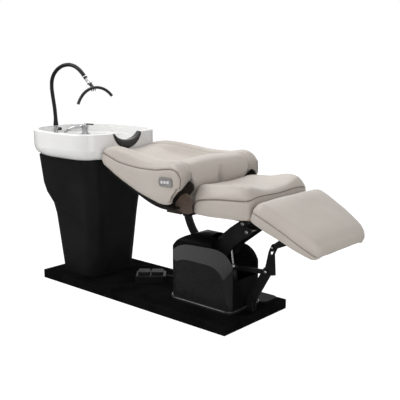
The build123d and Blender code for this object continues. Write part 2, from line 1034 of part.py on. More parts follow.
def valve_knob():
    start = gooseneck_x + gooseneck_body_radius + valve_stem_length + clearance
    knob = rod(
        (start, gooseneck_y, valve_z), (start + valve_knob_length, gooseneck_y, valve_z), valve_knob_radius
    )
    return chamfer(knob.edges().group_by(Axis.X)[-1], valve_stem_radius / 3)


def hose_points():
    points = [(gooseneck_x, gooseneck_y, gooseneck_body_top_z)]
    for x, z in zip(hose_points_x, hose_points_z):
        points.append((x, gooseneck_y, z))
    return points


def arc_limit_radii(points):
    radii = []
    for before, corner, after in zip(points, points[1:], points[2:]):
        run_in = Vector(*corner) - Vector(*before)
        run_out = Vector(*after) - Vector(*corner)
        turn = math.radians(run_in.get_angle(run_out))
        shorter = min(run_in.length, run_out.length)
        radii.append(hose_bend_share * shorter / math.tan(turn / 2))
    return radii


def gooseneck_hose():
    points = hose_points()
    hose = tube_along(points, arc_limit_radii(points), sleeve_radius)
    start = Vector(*points[0])
    along = (Vector(*points[1]) - start).normalized()
    plane = Plane(origin=start, z_dir=along)
    flare = Solid.make_cone(sleeve_foot_radius, sleeve_radius, sleeve_foot_length, plane)
    return hose + flare


def hose_end():
    points = hose_points()
    end = Vector(*points[-1])
    along = (end - Vector(*points[-2])).normalized()
    return end, along


def hose_clip():
    end, along = hose_end()
    start = end - along * clip_setback
    plane = Plane(origin=start, z_dir=along)
    ring = Solid.make_cylinder(clip_radius, clip_length, plane)
    return ring - Solid.make_cylinder(sleeve_radius, clip_length, plane)


def ball_centre():
    end, along = hose_end()
    return end + along * ball_reach


def shower_ball():
    centre = ball_centre()
    end, along = hose_end()
    ball = Pos(centre) * Sphere(ball_radius)
    stem = rod(tuple(end), tuple(centre), sleeve_radius - clip_gap)
    cut_start = centre + neck_direction() * ball_radius * ball_flat_share
    cut = rod(tuple(cut_start), tuple(cut_start + neck_direction() * ball_radius), overrun)
    return ball + stem - cut


def neck_direction():
    turn = math.radians(arc_neck_tilt)
    return Vector(math.cos(turn), 0, -math.sin(turn))


def shower_arc():
    centre = ball_centre()
    neck_top = centre + neck_direction() * (ball_radius * ball_flat_share + clearance)
    crown = neck_top + neck_direction() * arc_neck_length
    neck = rod(tuple(neck_top), tuple(crown), arc_neck_radius)
    bar = ThreePointArc((0, -arc_half_chord, -arc_drop), (0, 0, 0), (0, arc_half_chord, -arc_drop))
    section = Plane(origin=bar @ 0, z_dir=bar % 0) * Circle(arc_radius)
    arc = sweep(section, path=bar)
    for index in range(nozzle_count):
        y = (index - (nozzle_count - 1) / 2) * nozzle_pitch
        arc += rod((0, y, 0), (0, y, -arc_radius - nozzle_length), nozzle_radius)
    arc = Pos(crown) * Rot(arc_roll, -arc_tilt, 0) * arc
    return arc + neck


# Mixer and hand shower
def faucet_body():
    x = mixer_x
    y = mixer_y
    body = rod((x, y, deck_z), (x, y, deck_z + mixer_flange), mixer_flange_radius)
    return body + rod((x, y, deck_z), (x, y, mixer_top_z), mixer_radius)


def mixer_lever():
    base = mixer_top_z + clearance
    dome = Pos(mixer_x, mixer_y, base) * Sphere(dome_radius)
    dome &= box_between(
        mixer_x - overrun, mixer_x + overrun, mixer_y - overrun, mixer_y + overrun, base, base + dome_height
    )
    blade = box_between(
        mixer_x,
        mixer_x + lever_length,
        mixer_y - lever_width / 2,
        mixer_y + lever_width / 2,
        base + lever_rise,
        base + lever_rise + lever_height,
    )
    blade = fillet(blade.edges().filter_by(Axis.Z).group_by(Axis.X)[-1], lever_width / 2 - clearance)
    return dome + blade


def hand_shower():
    x = mixer_x - mixer_radius - handset_radius - clearance
    y = mixer_y
    top = mixer_top_z - handset_radius
    points = [
        (x, y + handset_head_length / 2, top),
        (x, y - handset_head_length / 2, top),
        (x + handset_run_x / 2, y + handset_run_y * handset_fall_share, top - handset_drop / 4),
        (x + handset_run_x, y + handset_run_y, deck_z + handset_radius + clearance),
    ]
    handle = tube_along(points, arc_limit_radii(points), handset_radius)
    head = rod(
        (x, y + handset_head_length / 2, top),
        (x, y + handset_head_length * handset_tip_share, top),
        handset_head_radius - handset_radius / 2,
    )
    return handle + head


# Lift
def lift_direction():
    return math.atan2(seat_pivot_z - lift_pivot_z, seat_pivot_x - lift_pivot_x)


def lift_radius():
    return math.hypot(seat_pivot_z - lift_pivot_z, seat_pivot_x - lift_pivot_x)


def lift_arm(side):
    inner = side * (arm_outer_y - arm_thickness)
    outer = side * arm_outer_y
    low, high = min(inner, outer), max(inner, outer)
    arm = plate_xz(list(zip(arm_outline_x, arm_outline_z)), low, high)
    arm += rod_y(lift_pivot_x, lift_pivot_z, arm_head_radius, low, high)
    arm += rod_y(seat_pivot_x, seat_pivot_z, arm_tip_radius, low, high)
    arm -= rod_y(lift_pivot_x, lift_pivot_z, lift_shaft_radius + axle_play, low - overrun, high + overrun)
    arm -= rod_y(seat_pivot_x, seat_pivot_z, seat_shaft_radius + axle_play, low - overrun, high + overrun)
    arm -= rod_y(tie_bolt_x, tie_bolt_z, tie_bolt_radius + axle_play, low - overrun, high + overrun)
    return arm - rod_y(cross_tube_x, cross_tube_z, arm_hole_radius, low - overrun, high + overrun)


def lift_arms():
    reach = arm_outer_y - arm_thickness
    tube = rod_y(cross_tube_x, cross_tube_z, cross_tube_radius, -reach, reach)
    tube -= rod_y(cross_tube_x, cross_tube_z, cross_tube_radius - cross_tube_wall, -reach, reach)
    return tube + lift_arm(-1) + lift_arm(1)


def domed_bolt(x, z, radius, reach):
    bolt = rod_y(x, z, radius, -reach, reach)
    for side in (-1, 1):
        low = min(side * reach, side * (reach + dome_bolt_height))
        head = rod_y(x, z, dome_bolt_radius, low, low + dome_bolt_height)
        rim = head.edges().filter_by(GeomType.CIRCLE).group_by(Axis.Y)[-1 if side > 0 else 0]
        bolt += fillet(rim, dome_bolt_height * dome_bolt_share)
    return bolt


def arm_tie_bolt():
    return domed_bolt(tie_bolt_x, tie_bolt_z, tie_bolt_radius, arm_outer_y)


def lift_frame():
    top = plate_height + frame_floor_thickness
    body = box_between(
        frame_floor_rear_x, frame_floor_front_x, -frame_floor_half, frame_floor_half, plate_height, top
    )
    for low, high in (
        (near_cheek_y - cheek_thickness, near_cheek_y),
        (far_cheek_y, far_cheek_y + cheek_thickness),
    ):
        outline = [
            (cheek_foot_rear_x, plate_height),
            (cheek_foot_front_x, plate_height),
            (lift_pivot_x + cheek_head_radius, lift_pivot_z),
            (lift_pivot_x - cheek_head_radius, lift_pivot_z),
        ]
        body += plate_xz(outline, low, high) + rod_y(lift_pivot_x, lift_pivot_z, cheek_head_radius, low, high)
    for side in (-1, 1):
        inner = cylinder_y + side * (cylinder_radius + trunnion_gap)
        outer = inner + side * trunnion_thickness
        low, high = min(inner, outer), max(inner, outer)
        body += box_between(
            cylinder_base_x - trunnion_radius,
            cylinder_base_x + trunnion_radius,
            low,
            high,
            plate_height,
            cylinder_base_z,
        )
        body += rod_y(cylinder_base_x, cylinder_base_z, trunnion_radius, low, high)
        body -= rod_y(cylinder_base_x, cylinder_base_z, foot_pin_radius + axle_play, low - clearance, high + clearance)
    saddle = box_between(
        leg_cylinder_rear_x,
        leg_cylinder_rear_x + leg_saddle_length,
        leg_cylinder_y - leg_saddle_half,
        leg_cylinder_y + leg_saddle_half,
        plate_height,
        drive_end_z - leg_cylinder_radius / 2,
    )
    saddle -= rod(
        (leg_cylinder_rear_x - overrun, leg_cylinder_y, drive_end_z),
        (leg_cylinder_front_x, leg_cylinder_y, drive_end_z),
        leg_cylinder_radius,
    )
    near = near_cheek_y - cheek_thickness
    far = far_cheek_y + cheek_thickness
    return body + saddle + rod_y(lift_pivot_x, lift_pivot_z, lift_shaft_radius, near, far)


def guide_point(angle):
    turn = math.radians(angle)
    return (
        guide_centre_x + guide_radius * math.cos(turn),
        guide_centre_z + guide_radius * math.sin(turn),
    )


def ring_sector(centre, radius, half, start, end, y0, y1):
    outline = []
    for reach, first, last in ((radius + half, start, end), (radius - half, end, start)):
        arc_points = []
        for angle in (first, (first + last) / 2, last):
            turn = math.radians(angle)
            x = centre[0] + reach * math.cos(turn)
            arc_points.append((x, y0, centre[1] + reach * math.sin(turn)))
        outline.append(arc_points)
    outer = ThreePointArc(*outline[0])
    inner = ThreePointArc(*outline[1])
    ends = [Line(outer @ 1, inner @ 0), Line(inner @ 1, outer @ 0)]
    return extrude(make_face(Wire([outer, ends[0], inner, ends[1]])), y1 - y0, dir=(0, 1, 0))


def guide_tracks():
    pin = guide_point(guide_pin_angle)
    slot_centre = (pin[0] - (seat_pivot_x - lift_pivot_x), pin[1] - (seat_pivot_z - lift_pivot_z))
    start = math.degrees(lift_direction()) + track_margin_angle
    end = math.degrees(lift_direction()) - lift_travel - track_margin_angle
    slot_half = guide_pin_radius + track_play
    plates = []
    gap = guide_thickness / 2 + track_gap
    for side in (-1, 1):
        inner = guide_y + side * gap
        outer = inner + side * track_thickness
        low, high = min(inner, outer), max(inner, outer)
        half = slot_half + track_border
        first, last = start + track_lead_angle, end - track_tail_angle
        body = ring_sector(slot_centre, lift_radius(), half, first, last, low, high)
        foot = box_between(
            pin[0] + track_foot_start,
            pin[0] + track_foot_start + track_foot_length,
            low,
            high,
            plate_height + frame_floor_thickness,
            pin[1] - track_foot_drop,
        )
        plate = body + foot
        plate -= ring_sector(slot_centre, lift_radius(), slot_half, start, end, low - overrun, high + overrun)
        plates.append(plate)
    return plates


def lift_axis():
    base = Vector(cylinder_base_x, cylinder_y, cylinder_base_z)
    eye = Vector(cross_tube_x, cylinder_y, cross_tube_z)
    return base, eye, (eye - base).normalized()


def lift_cylinder():
    base, eye, along = lift_axis()
    start = base - along * cylinder_radius
    body = Solid.make_cylinder(cylinder_radius, cylinder_length, Plane(origin=start, z_dir=along))
    bore_start = base + along * 2 * cylinder_radius
    body -= Solid.make_cylinder(cylinder_bore, cylinder_length, Plane(origin=bore_start, z_dir=along))
    reach = cylinder_radius + trunnion_gap + trunnion_thickness
    pin = rod_y(cylinder_base_x, cylinder_base_z, foot_pin_radius, cylinder_y - reach, cylinder_y + reach)
    return body + pin


def lift_rod():
    base, eye, along = lift_axis()
    depth = cylinder_length - 2 * cylinder_radius
    lowest = base + along * (depth - cylinder_radius)
    length = (eye - lowest).length - cross_tube_radius - rod_eye_play
    stem = Solid.make_cylinder(rod_radius, length, Plane(origin=lowest, z_dir=along))
    collar_start = base + along * (cylinder_length - cylinder_radius + rod_gaiter_start)
    collar = Solid.make_cone(
        rod_gaiter_radius, rod_radius, rod_gaiter_length / 2, Plane(origin=collar_start, z_dir=along)
    )
    low = cylinder_y - rod_eye_width / 2
    high = cylinder_y + rod_eye_width / 2
    ring = rod_y(cross_tube_x, cross_tube_z, rod_eye_radius, low, high)
    ring -= rod_y(cross_tube_x, cross_tube_z, cross_tube_radius + rod_eye_play, low, high)
    stem -= rod_y(cross_tube_x, cross_tube_z, cross_tube_radius + rod_eye_play, low, high)
    return stem + collar + ring


# Cover over the lift
def cover_plan(inset, z):
    return rounded_plan_face(
        cover_rear_x + inset,
        cover_front_x - inset,
        cover_half_width - inset,
        cover_rear_corner - inset,
        cover_front_corner - inset,
        z,
    )


def arch_prism(points, half):
    low_z = -overrun
    edges = [Line((points[0][0], -half, low_z), (points[0][0], -half, points[0][1]))]
    curve = Spline(*[(x, -half, z) for x, z in points])
    edges.append(curve)
    edges.append(Line((points[-1][0], -half, points[-1][1]), (points[-1][0], -half, low_z)))
    edges.append(Line((points[-1][0], -half, low_z), (points[0][0], -half, low_z)))
    return extrude(make_face(Wire(edges)), 2 * half, dir=(0, 1, 0))


def side_arch(inset):
    return [
        (arch_rear_x + inset, arch_shoulder_z - inset),
        (arch_rear_top_x, arch_rear_top_z - inset),
        (arch_crown_x, arch_crown_z - inset),
        (arch_front_top_x, arch_front_top_z - inset),
        (arch_front_x - inset, arch_shoulder_z - inset),
    ]


def hood_arch(inset):
    return [
        (cover_rear_x + inset, hood_shoulder_z - inset),
        (hood_rear_top_x, hood_rear_top_z - inset),
        (hood_crown_x, hood_crown_z - inset),
        (hood_front_x + 2 * overrun, hood_front_z - overrun / 2 - inset),
    ]


def hood_solid(inset):
    low = plate_height + cover_flange_height - inset
    half = shell_inner_y - clearance - inset
    body = extrude(cover_plan(inset, low), basin_foot_z - low, dir=(0, 0, 1))
    body &= arch_prism(hood_arch(inset), half)
    x = cover_rear_x - overrun
    edge_z = hood_edge_z - inset
    profile = Wire(
        [
            Line((x, -half, 0), (x, half, 0)),
            Line((x, half, 0), (x, half, edge_z)),
            ThreePointArc((x, half, edge_z), (x, 0, hood_crown_z - inset + clearance), (x, -half, edge_z)),
            Line((x, -half, edge_z), (x, -half, 0)),
        ]
    )
    return body & extrude(make_face(profile), cover_front_x, dir=(1, 0, 0))


def bevel_arch(inset):
    return [
        (bevel_rear_x + inset, bevel_shoulder_z - inset),
        (bevel_rear_top_x, bevel_rear_top_z - inset),
        (bevel_crown_x, bevel_crown_z - inset),
        (bevel_front_top_x, bevel_front_top_z - inset),
        (bevel_front_x - inset, bevel_shoulder_z - inset),
    ]


def arch_wire(points, foot_rear_x, foot_front_x, y):
    low_z = -overrun
    first = (points[0][0], y, points[0][1])
    last = (points[-1][0], y, points[-1][1])
    edges = [
        Line((foot_rear_x, y, low_z), first),
        Spline(*[(x, y, z) for x, z in points]),
        Line(last, (foot_front_x, y, low_z)),
        Line((foot_front_x, y, low_z), (foot_rear_x, y, low_z)),
    ]
    return Wire(edges)


def side_cover_solid(inset, side):
    low = plate_height + cover_flange_height
    top = arch_crown_z + overrun
    rear = arch_rear_x + inset
    front = arch_front_x - inset
    outer = arch_wire(side_arch(inset), rear, front, side * (shell_inner_y - inset))
    inner = arch_wire(bevel_arch(inset), rear, front, side * (cover_half_width - inset))
    bevelled = Solid.make_loft([outer, inner], ruled=True)
    return extrude(cover_plan(inset, low - inset), top - low + inset, dir=(0, 0, 1)) & bevelled


def side_shell(side):
    body = side_cover_solid(0, side) - side_cover_solid(cover_wall, side)
    inner = shell_inner_y * side
    outer = (cover_half_width + overrun) * side
    low, high = min(inner, outer), max(inner, outer)
    keep = box_between(0, plate_length / 2, low, high, 0, basin_foot_z)
    return body & keep


def cover_hood():
    body = hood_solid(0) - hood_solid(cover_wall)
    reach = cover_half_width
    body -= box_between(hood_front_x, plate_length, -reach, reach, 0, basin_foot_z)
    body -= box_between(
        hood_arm_slot_x, plate_length, -hood_arm_slot_half, hood_arm_slot_half, hood_shoulder_z, basin_foot_z
    )
    body -= box_between(
        guide_slot_rear_x,
        guide_slot_front_x,
        guide_y - guide_slot_half,
        guide_y + guide_slot_half,
        hood_shoulder_z,
        basin_foot_z,
    )
    start, end = cable_route()[-2:]
    return body + cover_nose() - rod(start, end, cable_radius + soft_gap)


def cover_nose():
    low = plate_height + cover_flange_height
    half = shell_inner_y - clearance
    inner_half = half - cover_wall
    body = extrude(cover_plan(0, low), nose_top_z - low, dir=(0, 0, 1))
    body &= box_between(hood_front_x, plate_length, -half, half, low, nose_top_z)
    inner_x = cover_front_x - cover_wall
    return body - box_between(0, inner_x, -inner_half, inner_half, 0, basin_foot_z)


def cover_flange():
    outer = extrude(cover_plan(-cover_flange_reach, plate_height), cover_flange_height, dir=(0, 0, 1))
    outer = fillet(outer.edges().group_by(Axis.Z)[-1], cover_flange_lip)
    inner = extrude(cover_plan(cover_flange_lip * 2, plate_height), cover_flange_height, dir=(0, 0, 1))
    return outer - inner


# Leg linkage
def link_direction():
    return math.atan2(link_pin_z - link_foot_z, link_pin_x - link_foot_x)


def leg_link():
    half = link_thickness / 2
    foot = (link_foot_x, link_foot_z)
    knee = (link_knee_x, link_knee_z)
    pin = (link_pin_x, link_pin_z)
    body = bar_xz(foot, knee, link_foot_radius, -half, half)
    along = link_direction()
    slot_low = (pin[0] - link_slot_run * math.cos(along), pin[1] - link_slot_run * math.sin(along))
    body += bar_xz(slot_low, pin, link_head_radius, -half, half)
    gusset = [
        (knee[0] - link_knee_half * link_neck_share, knee[1] + link_knee_half * link_neck_rise_share),
        (slot_low[0] - link_head_radius, slot_low[1]),
        (slot_low[0] + link_head_radius, slot_low[1]),
        (link_knee_bulge_x, link_knee_bulge_z),
        (knee[0] + link_foot_radius * link_heel_share, knee[1] - link_foot_radius * link_heel_drop_share),
    ]
    body += plate_xz(gusset, -half, half)
    slot = bar_xz(slot_low, (pin[0] + clearance, pin[1] + clearance), link_slot_half, -half - 1, half + 1)
    body -= slot
    body -= rod_y(foot[0], foot[1], foot_pin_radius + axle_play, -half - 1, half + 1)
    pin_end = half + drive_gap + drive_thickness
    body += rod_y(knee[0], knee[1], knee_pin_radius, -pin_end - clearance, half)
    head_start = -pin_end - clearance
    head = rod_y(knee[0], knee[1], knee_head_radius, head_start - knee_head_height, head_start)
    return body + head


def leg_foot_bracket():
    half = link_thickness / 2 + drive_gap
    body = None
    for side in (-1, 1):
        inner = side * half
        outer = side * (half + foot_lug_thickness)
        low, high = min(inner, outer), max(inner, outer)
        lug = box_between(
            link_foot_x - foot_lug_radius,
            link_foot_x + foot_lug_radius,
            low,
            high,
            plate_height,
            link_foot_z,
        )
        lug += rod_y(link_foot_x, link_foot_z, foot_lug_radius, low, high)
        body = lug if body is None else body + lug
    reach = half + foot_lug_thickness
    body += rod_y(link_foot_x, link_foot_z, foot_pin_radius, -reach, reach)
    floor = box_between(
        link_foot_x - foot_lug_radius,
        link_foot_x + foot_lug_radius,
        -reach,
        reach,
        plate_height,
        plate_height + foot_lug_thickness,
    )
    return body + floor


def drive_link():
    near = -link_thickness / 2 - drive_gap
    body = bar_xz((drive_end_x, drive_end_z), (link_knee_x, link_knee_z), drive_width / 2, near - drive_thickness, near)
    body -= rod_y(link_knee_x, link_knee_z, knee_pin_radius + axle_play, near - overrun, near + overrun)
    return body - rod_y(drive_end_x, drive_end_z, knee_pin_radius + drive_play, near - overrun, near + overrun)


def leg_cylinder():
    y = leg_cylinder_y
    body = rod((leg_cylinder_rear_x, y, drive_end_z), (leg_cylinder_front_x, y, drive_end_z), leg_cylinder_radius)
    bore_x = leg_cylinder_front_x - 2 * leg_rod_depth
    return body - rod((bore_x, y, drive_end_z), (leg_cylinder_front_x + root_overlap, y, drive_end_z), leg_rod_bore)


def leg_rod():
    y = leg_cylinder_y
    low = leg_cylinder_front_x - leg_rod_depth
    body = rod((low, y, drive_end_z), (leg_rod_end_x, y, drive_end_z), leg_rod_radius)
    drive_near = -link_thickness / 2 - drive_gap - drive_thickness
    eye_low = y - leg_eye_radius
    eye_high = drive_near - drive_gap
    body += rod_y(drive_end_x, drive_end_z, leg_eye_radius * leg_eye_lug_share, eye_low, eye_high)
    return body + rod_y(drive_end_x, drive_end_z, knee_pin_radius, eye_high, -drive_gap)


# Seat
def seat_frame():
    top = rail_low_z + rail_height
    body = None
    for side in (-1, 1):
        rail = box_between(
            rail_rear_x,
            rail_front_x,
            side * rail_y - rail_width / 2,
            side * rail_y + rail_width / 2,
            rail_low_z,
            top,
        )
        body = rail if body is None else body + rail
    for x, half in ((spine_rear_x, spine_y + spine_width / 2), (rail_rear_x, rail_y)):
        body += box_between(x, x + cross_bar_width, -half, half, rail_low_z, top)
    for side in (-1, 1):
        inner = side * spine_y - spine_width / 2
        body += box_between(spine_rear_x, mid_bar_x, inner, inner + spine_width, rail_low_z, top)
    mid_half = hinge_lug_inner_y + hinge_lug_thickness
    mid_low = mid_bar_x - cross_bar_width / 2
    mid_high = mid_bar_x + cross_bar_width / 2
    body += box_between(mid_low, mid_high, -mid_half, mid_half, rail_low_z, top)
    body += box_between(
        front_bar_x - cross_bar_width / 2, front_bar_x + cross_bar_width / 2, -rail_y, rail_y, rail_low_z, top
    )
    pivot_low = seat_pivot_x - pivot_bar_width / 2
    body += box_between(pivot_low, pivot_low + pivot_bar_width, -rail_y, rail_y, top - pivot_bar_height, top)
    for side in (-1, 1):
        inner = side * hinge_lug_inner_y
        outer = side * mid_half
        low, high = min(inner, outer), max(inner, outer)
        lug = box_between(
            back_hinge_x - hinge_lug_half, back_hinge_x + hinge_lug_half, low, high, rail_low_z, back_hinge_z
        )
        lug += rod_y(back_hinge_x, back_hinge_z, hinge_lug_half, low, high)
        lug -= rod_y(back_hinge_x, back_hinge_z, back_hinge_radius + axle_play, low - root_overlap, high + root_overlap)
        body += lug
        inner = side * (arm_outer_y + seat_lug_gap)
        outer = inner + side * seat_lug_thickness
        low, high = min(inner, outer), max(inner, outer)
        ear = box_between(
            seat_pivot_x - seat_lug_radius, seat_pivot_x + seat_lug_radius, low, high, seat_pivot_z, top
        )
        ear += rod_y(seat_pivot_x, seat_pivot_z, seat_lug_radius, low, high)
        ear -= rod_y(seat_pivot_x, seat_pivot_z, seat_shaft_radius + axle_play, low - root_overlap, high + root_overlap)
        body += ear
        strap_low = side * leg_strap_y - leg_strap_width / 2
        strap_high = side * leg_strap_y + leg_strap_width / 2
        reach = leg_hinge_radius + 2 * leg_strap_thickness
        strap = box_between(
            front_bar_x,
            leg_hinge_x - reach + leg_strap_thickness,
            strap_low,
            strap_high,
            top - leg_strap_thickness,
            top,
        )
        strap += box_between(
            leg_hinge_x - reach,
            leg_hinge_x - reach + leg_strap_thickness,
            strap_low,
            strap_high,
            top - leg_strap_thickness,
            leg_hinge_z,
        )
        strap += box_between(
            leg_hinge_x - reach, leg_hinge_x, strap_low, strap_high, leg_hinge_z - leg_strap_thickness / 2,
            leg_hinge_z + leg_strap_thickness / 2
        )
        strap += rod_y(leg_hinge_x, leg_hinge_z, leg_hinge_radius, strap_low, strap_high)
        body += strap
    return body


def seat_pivot_bolt():
    reach = arm_outer_y + seat_lug_gap + seat_lug_thickness
    return domed_bolt(seat_pivot_x, seat_pivot_z, seat_shaft_radius, reach)


def guide_arm():
    low = guide_y - guide_thickness / 2
    high = guide_y + guide_thickness / 2
    centre = (guide_centre_x, guide_centre_z)
    body = ring_sector(centre, guide_radius, guide_width / 2, guide_start_angle, guide_end_angle, low, high)
    body &= box_between(0, plate_length, low, high, 0, rail_low_z)
    pin = guide_point(guide_pin_angle)
    reach = guide_thickness / 2 + track_gap + track_thickness
    return body + rod_y(pin[0], pin[1], guide_pin_radius, guide_y - reach, guide_y + reach)


def seat_board():
    low = rail_low_z + rail_height
    return rounded_box(
        seat_board_rear_x,
        seat_board_front_x,
        -seat_board_half,
        seat_board_half,
        low,
        low + seat_board_thickness,
        seat_tuck * 2,
    )


def cushion_wire(x, half, low, top, dish, tuck):
    lobe_y = half * seat_lobe_share
    side_z = low + (top - low) * seat_side_share
    shoulder_z = low + (top - low) * seat_shoulder_share
    shoulder_y = half - tuck * seat_round_share
    dip_y = half * seat_dip_share
    dip_z = top - dish * seat_dip_depth_share
    shoulder = (x, shoulder_y, shoulder_z)
    dip_right = (x, dip_y, dip_z)
    dip_left = (x, -dip_y, dip_z)
    edges = [
        Line((x, tuck - half, low), (x, half - tuck, low)),
        ThreePointArc((x, half - tuck, low), (x, half, side_z), shoulder),
        ThreePointArc(shoulder, (x, lobe_y, top), dip_right),
        ThreePointArc(dip_right, (x, 0, top - dish), dip_left),
        ThreePointArc(dip_left, (x, -lobe_y, top), (x, -shoulder_y, shoulder_z)),
        ThreePointArc((x, -shoulder_y, shoulder_z), (x, -half, side_z), (x, tuck - half, low)),
    ]
    return Wire(edges)


def seat_cushion():
    stations = (
        (seat_rear_x, seat_rear_half, seat_rear_low_z, seat_rear_top_z),
        (seat_quarter_x, seat_quarter_half, seat_quarter_low_z, seat_quarter_top_z),
        (seat_mid_x, seat_mid_half, seat_mid_low_z, seat_mid_top_z),
        (seat_lobe_x, seat_lobe_half, seat_lobe_low_z, seat_lobe_top_z),
        (seat_nose_x, seat_nose_half, seat_nose_low_z, seat_nose_top_z),
        (seat_front_x, seat_front_half, seat_bottom_z, seat_front_top_z),
    )
    wires = []
    for (x, half, low, top), share in zip(stations, seat_dish_shares):
        wires.append(cushion_wire(x, half, low, top, seat_dish * share, seat_tuck))
    body = Solid.make_loft(wires)
    board_half = seat_board_half + soft_gap
    body -= box_between(
        seat_board_rear_x - soft_gap, seat_board_front_x + soft_gap, -board_half, board_half, 0, seat_bottom_z
    )
    for side in (-1, 1):
        y = side * leg_strap_y
        half = leg_strap_width / 2 + 2 * soft_gap
        post_x = leg_hinge_x - leg_hinge_radius - 2 * leg_strap_thickness - 2 * soft_gap
        body -= box_between(post_x, plate_length, y - half, y + half, 0, leg_hinge_z + leg_hinge_radius + leg_hinge_gap)
    return body


def seat_gusset():
    low = rail_low_z + rail_height + clearance
    block = box_between(gusset_rear_x, gusset_front_x, -gusset_half, gusset_half, low, gusset_top_z)
    return fillet(block.edges().filter_by(Axis.Y), gusset_edge)


def rest_blocks():
    solids = []
    top = rail_low_z - clearance
    for side in (-1, 1):
        solids.append(
            box_between(
                rest_block_x,
                rest_block_x + rest_block_length,
                side * rail_y - rest_block_width / 2,
                side * rail_y + rest_block_width / 2,
                top - rest_block_height,
                top,
            )
        )
    return solids


# Backrest
def under_z(x):
    head = (back_head_x, back_under_head_z)
    neck = (back_under_neck_x, back_under_neck_z)
    front = (back_under_front_x, back_under_front_z)
    total = 0
    for here, second, third in ((head, neck, front), (neck, head, front), (front, head, neck)):
        weight = (x - second[0]) * (x - third[0])
        total += here[1] * weight / ((here[0] - second[0]) * (here[0] - third[0]))
    return total


def under_tool():
    reach = back_front_x + overrun - back_head_x + overrun
    points = []
    for step in range(back_under_steps):
        x = back_head_x - overrun + reach * step / (back_under_steps - 1)
        points.append((x, -sweep_half, under_z(x) + soft_gap))
    low_z = back_under_front_z - 2 * overrun
    curve = Spline(*points)
    edges = [
        curve,
        Line(points[-1], (points[-1][0], points[-1][1], low_z)),
        Line((points[-1][0], points[-1][1], low_z), (points[0][0], points[0][1], low_z)),
        Line((points[0][0], points[0][1], low_z), points[0]),
    ]
    return extrude(make_face(Wire(edges)), 2 * sweep_half, dir=(0, 1, 0))


def back_half(x):
    return wing_inner(x) - soft_gap


def wing_outer(x):
    return wing_outer_head + wing_outer_growth * (x - wing_head_x)


def wing_inner(x):
    return wing_inner_head + wing_inner_growth * (x - wing_head_x)


def hollow_wire(x, half, low, centre_z, edge_z):
    edges = [
        Line((x, -half, low), (x, half, low)),
        Line((x, half, low), (x, half, edge_z)),
        ThreePointArc((x, half, edge_z), (x, 0, centre_z), (x, -half, edge_z)),
        Line((x, -half, edge_z), (x, -half, low)),
    ]
    return Wire(edges)


def back_cushion():
    tops = (back_head_top_z, back_neck_top_z, back_low_top_z, back_deep_top_z, back_lumbar_top_z)
    wires = []
    for index, top in enumerate(tops):
        x = back_head_x + (back_hollow_front_x - back_head_x) * index / (back_sections_count - 1)
        edge = top + back_edge_rise * (1 + index / back_sections_count)
        wires.append(hollow_wire(x, back_half(x), under_z(x) - wing_tuck, top, edge))
    return Solid.make_loft(wires) - under_tool()


def roll_wire(y, drop):
    low_rear = under_z(roll_rear_x) - wing_tuck
    low_front = under_z(roll_low_front_x) - wing_tuck
    rear = (roll_rear_x, y, roll_rear_z - drop * roll_rear_drop_share)
    crest = (roll_crest_x, y, roll_crest_z - drop)
    front = (roll_front_x, y, roll_front_z - drop)
    foot = (roll_foot_x, y, roll_foot_z)
    tail = (roll_low_front_x, y, low_front)
    edges = [
        Line((roll_rear_x, y, low_rear), rear),
        ThreePointArc(rear, crest, front),
        ThreePointArc(front, (roll_foot_x + roll_belly, y, (roll_foot_z + roll_front_z - drop) / 2), foot),
        Line(foot, tail),
        Line(tail, (roll_rear_x, y, low_rear)),
    ]
    return Wire(edges)


def lumbar_roll():
    stations = (
        (-roll_half, roll_end_drop),
        (-roll_turn_y, roll_turn_drop),
        (-roll_shoulder_y, roll_shoulder_drop),
        (0, 0),
        (roll_shoulder_y, roll_shoulder_drop),
        (roll_turn_y, roll_turn_drop),
        (roll_half, roll_end_drop),
    )
    body = Solid.make_loft([roll_wire(y, drop) for y, drop in stations]) - under_tool()
    return body - roll_side_tool(-1) - roll_side_tool(1)


def roll_side_tool(side):
    low_z = back_under_front_z - overrun
    rear_x = roll_rear_x - overrun
    front_x = roll_foot_x + overrun
    outline = Polyline(
        (rear_x, side * back_half(rear_x), low_z),
        (front_x, side * back_half(front_x), low_z),
        (front_x, side * (roll_half + overrun), low_z),
        (rear_x, side * (roll_half + overrun), low_z),
        close=True,
    )
    tool = extrude(make_face(outline), basin_rim_z - low_z, dir=(0, 0, 1)) + hinge_cover_pocket(side)
    lug_y = side * (hinge_lug_inner_y - 2 * hinge_cover_gap)
    far_y = side * (roll_half + overrun)
    return tool + box_between(
        back_hinge_x - hinge_lug_half - 2 * hinge_cover_gap,
        front_x,
        min(lug_y, far_y),
        max(lug_y, far_y),
        low_z,
        back_hinge_z + hinge_lug_half + hinge_cover_gap,
    )


def wing_wire(x, side, low, seam, ridge):
    outer = side * wing_outer(x)
    inner = side * wing_inner(x)
    tuck = side * wing_tuck
    crest = inner + (outer - inner) * wing_ridge_share
    bulge = (x, outer - tuck * wing_bulge_tuck_share, low + (seam - low) * wing_bulge_share)
    edges = [
        Line((x, inner, low), (x, outer - tuck, low)),
        ThreePointArc((x, outer - tuck, low), bulge, (x, outer, seam)),
        ThreePointArc((x, outer, seam), (x, crest, ridge), (x, inner, ridge - wing_inner_drop)),
        Line((x, inner, ridge - wing_inner_drop), (x, inner, low)),
    ]
    return Wire(edges)


def wing(side):
    wires = []
    length = wing_front_x - wing_head_x
    height = wing_high_z - wing_low_z
    for along, under, seam, ridge in zip(
        wing_along_shares, wing_under_shares, wing_seam_shares, wing_ridge_shares
    ):
        x = wing_head_x + length * along
        low = wing_low_z + height * under - wing_tuck
        wires.append(wing_wire(x, side, low, wing_low_z + height * seam, wing_low_z + height * ridge))
    body = Solid.make_loft(wires) - under_tool() - hinge_cover_pocket(side) - hinge_recess(side)
    if side < 0:
        body -= panel_frame() * panel_block(soft_gap)
    return body


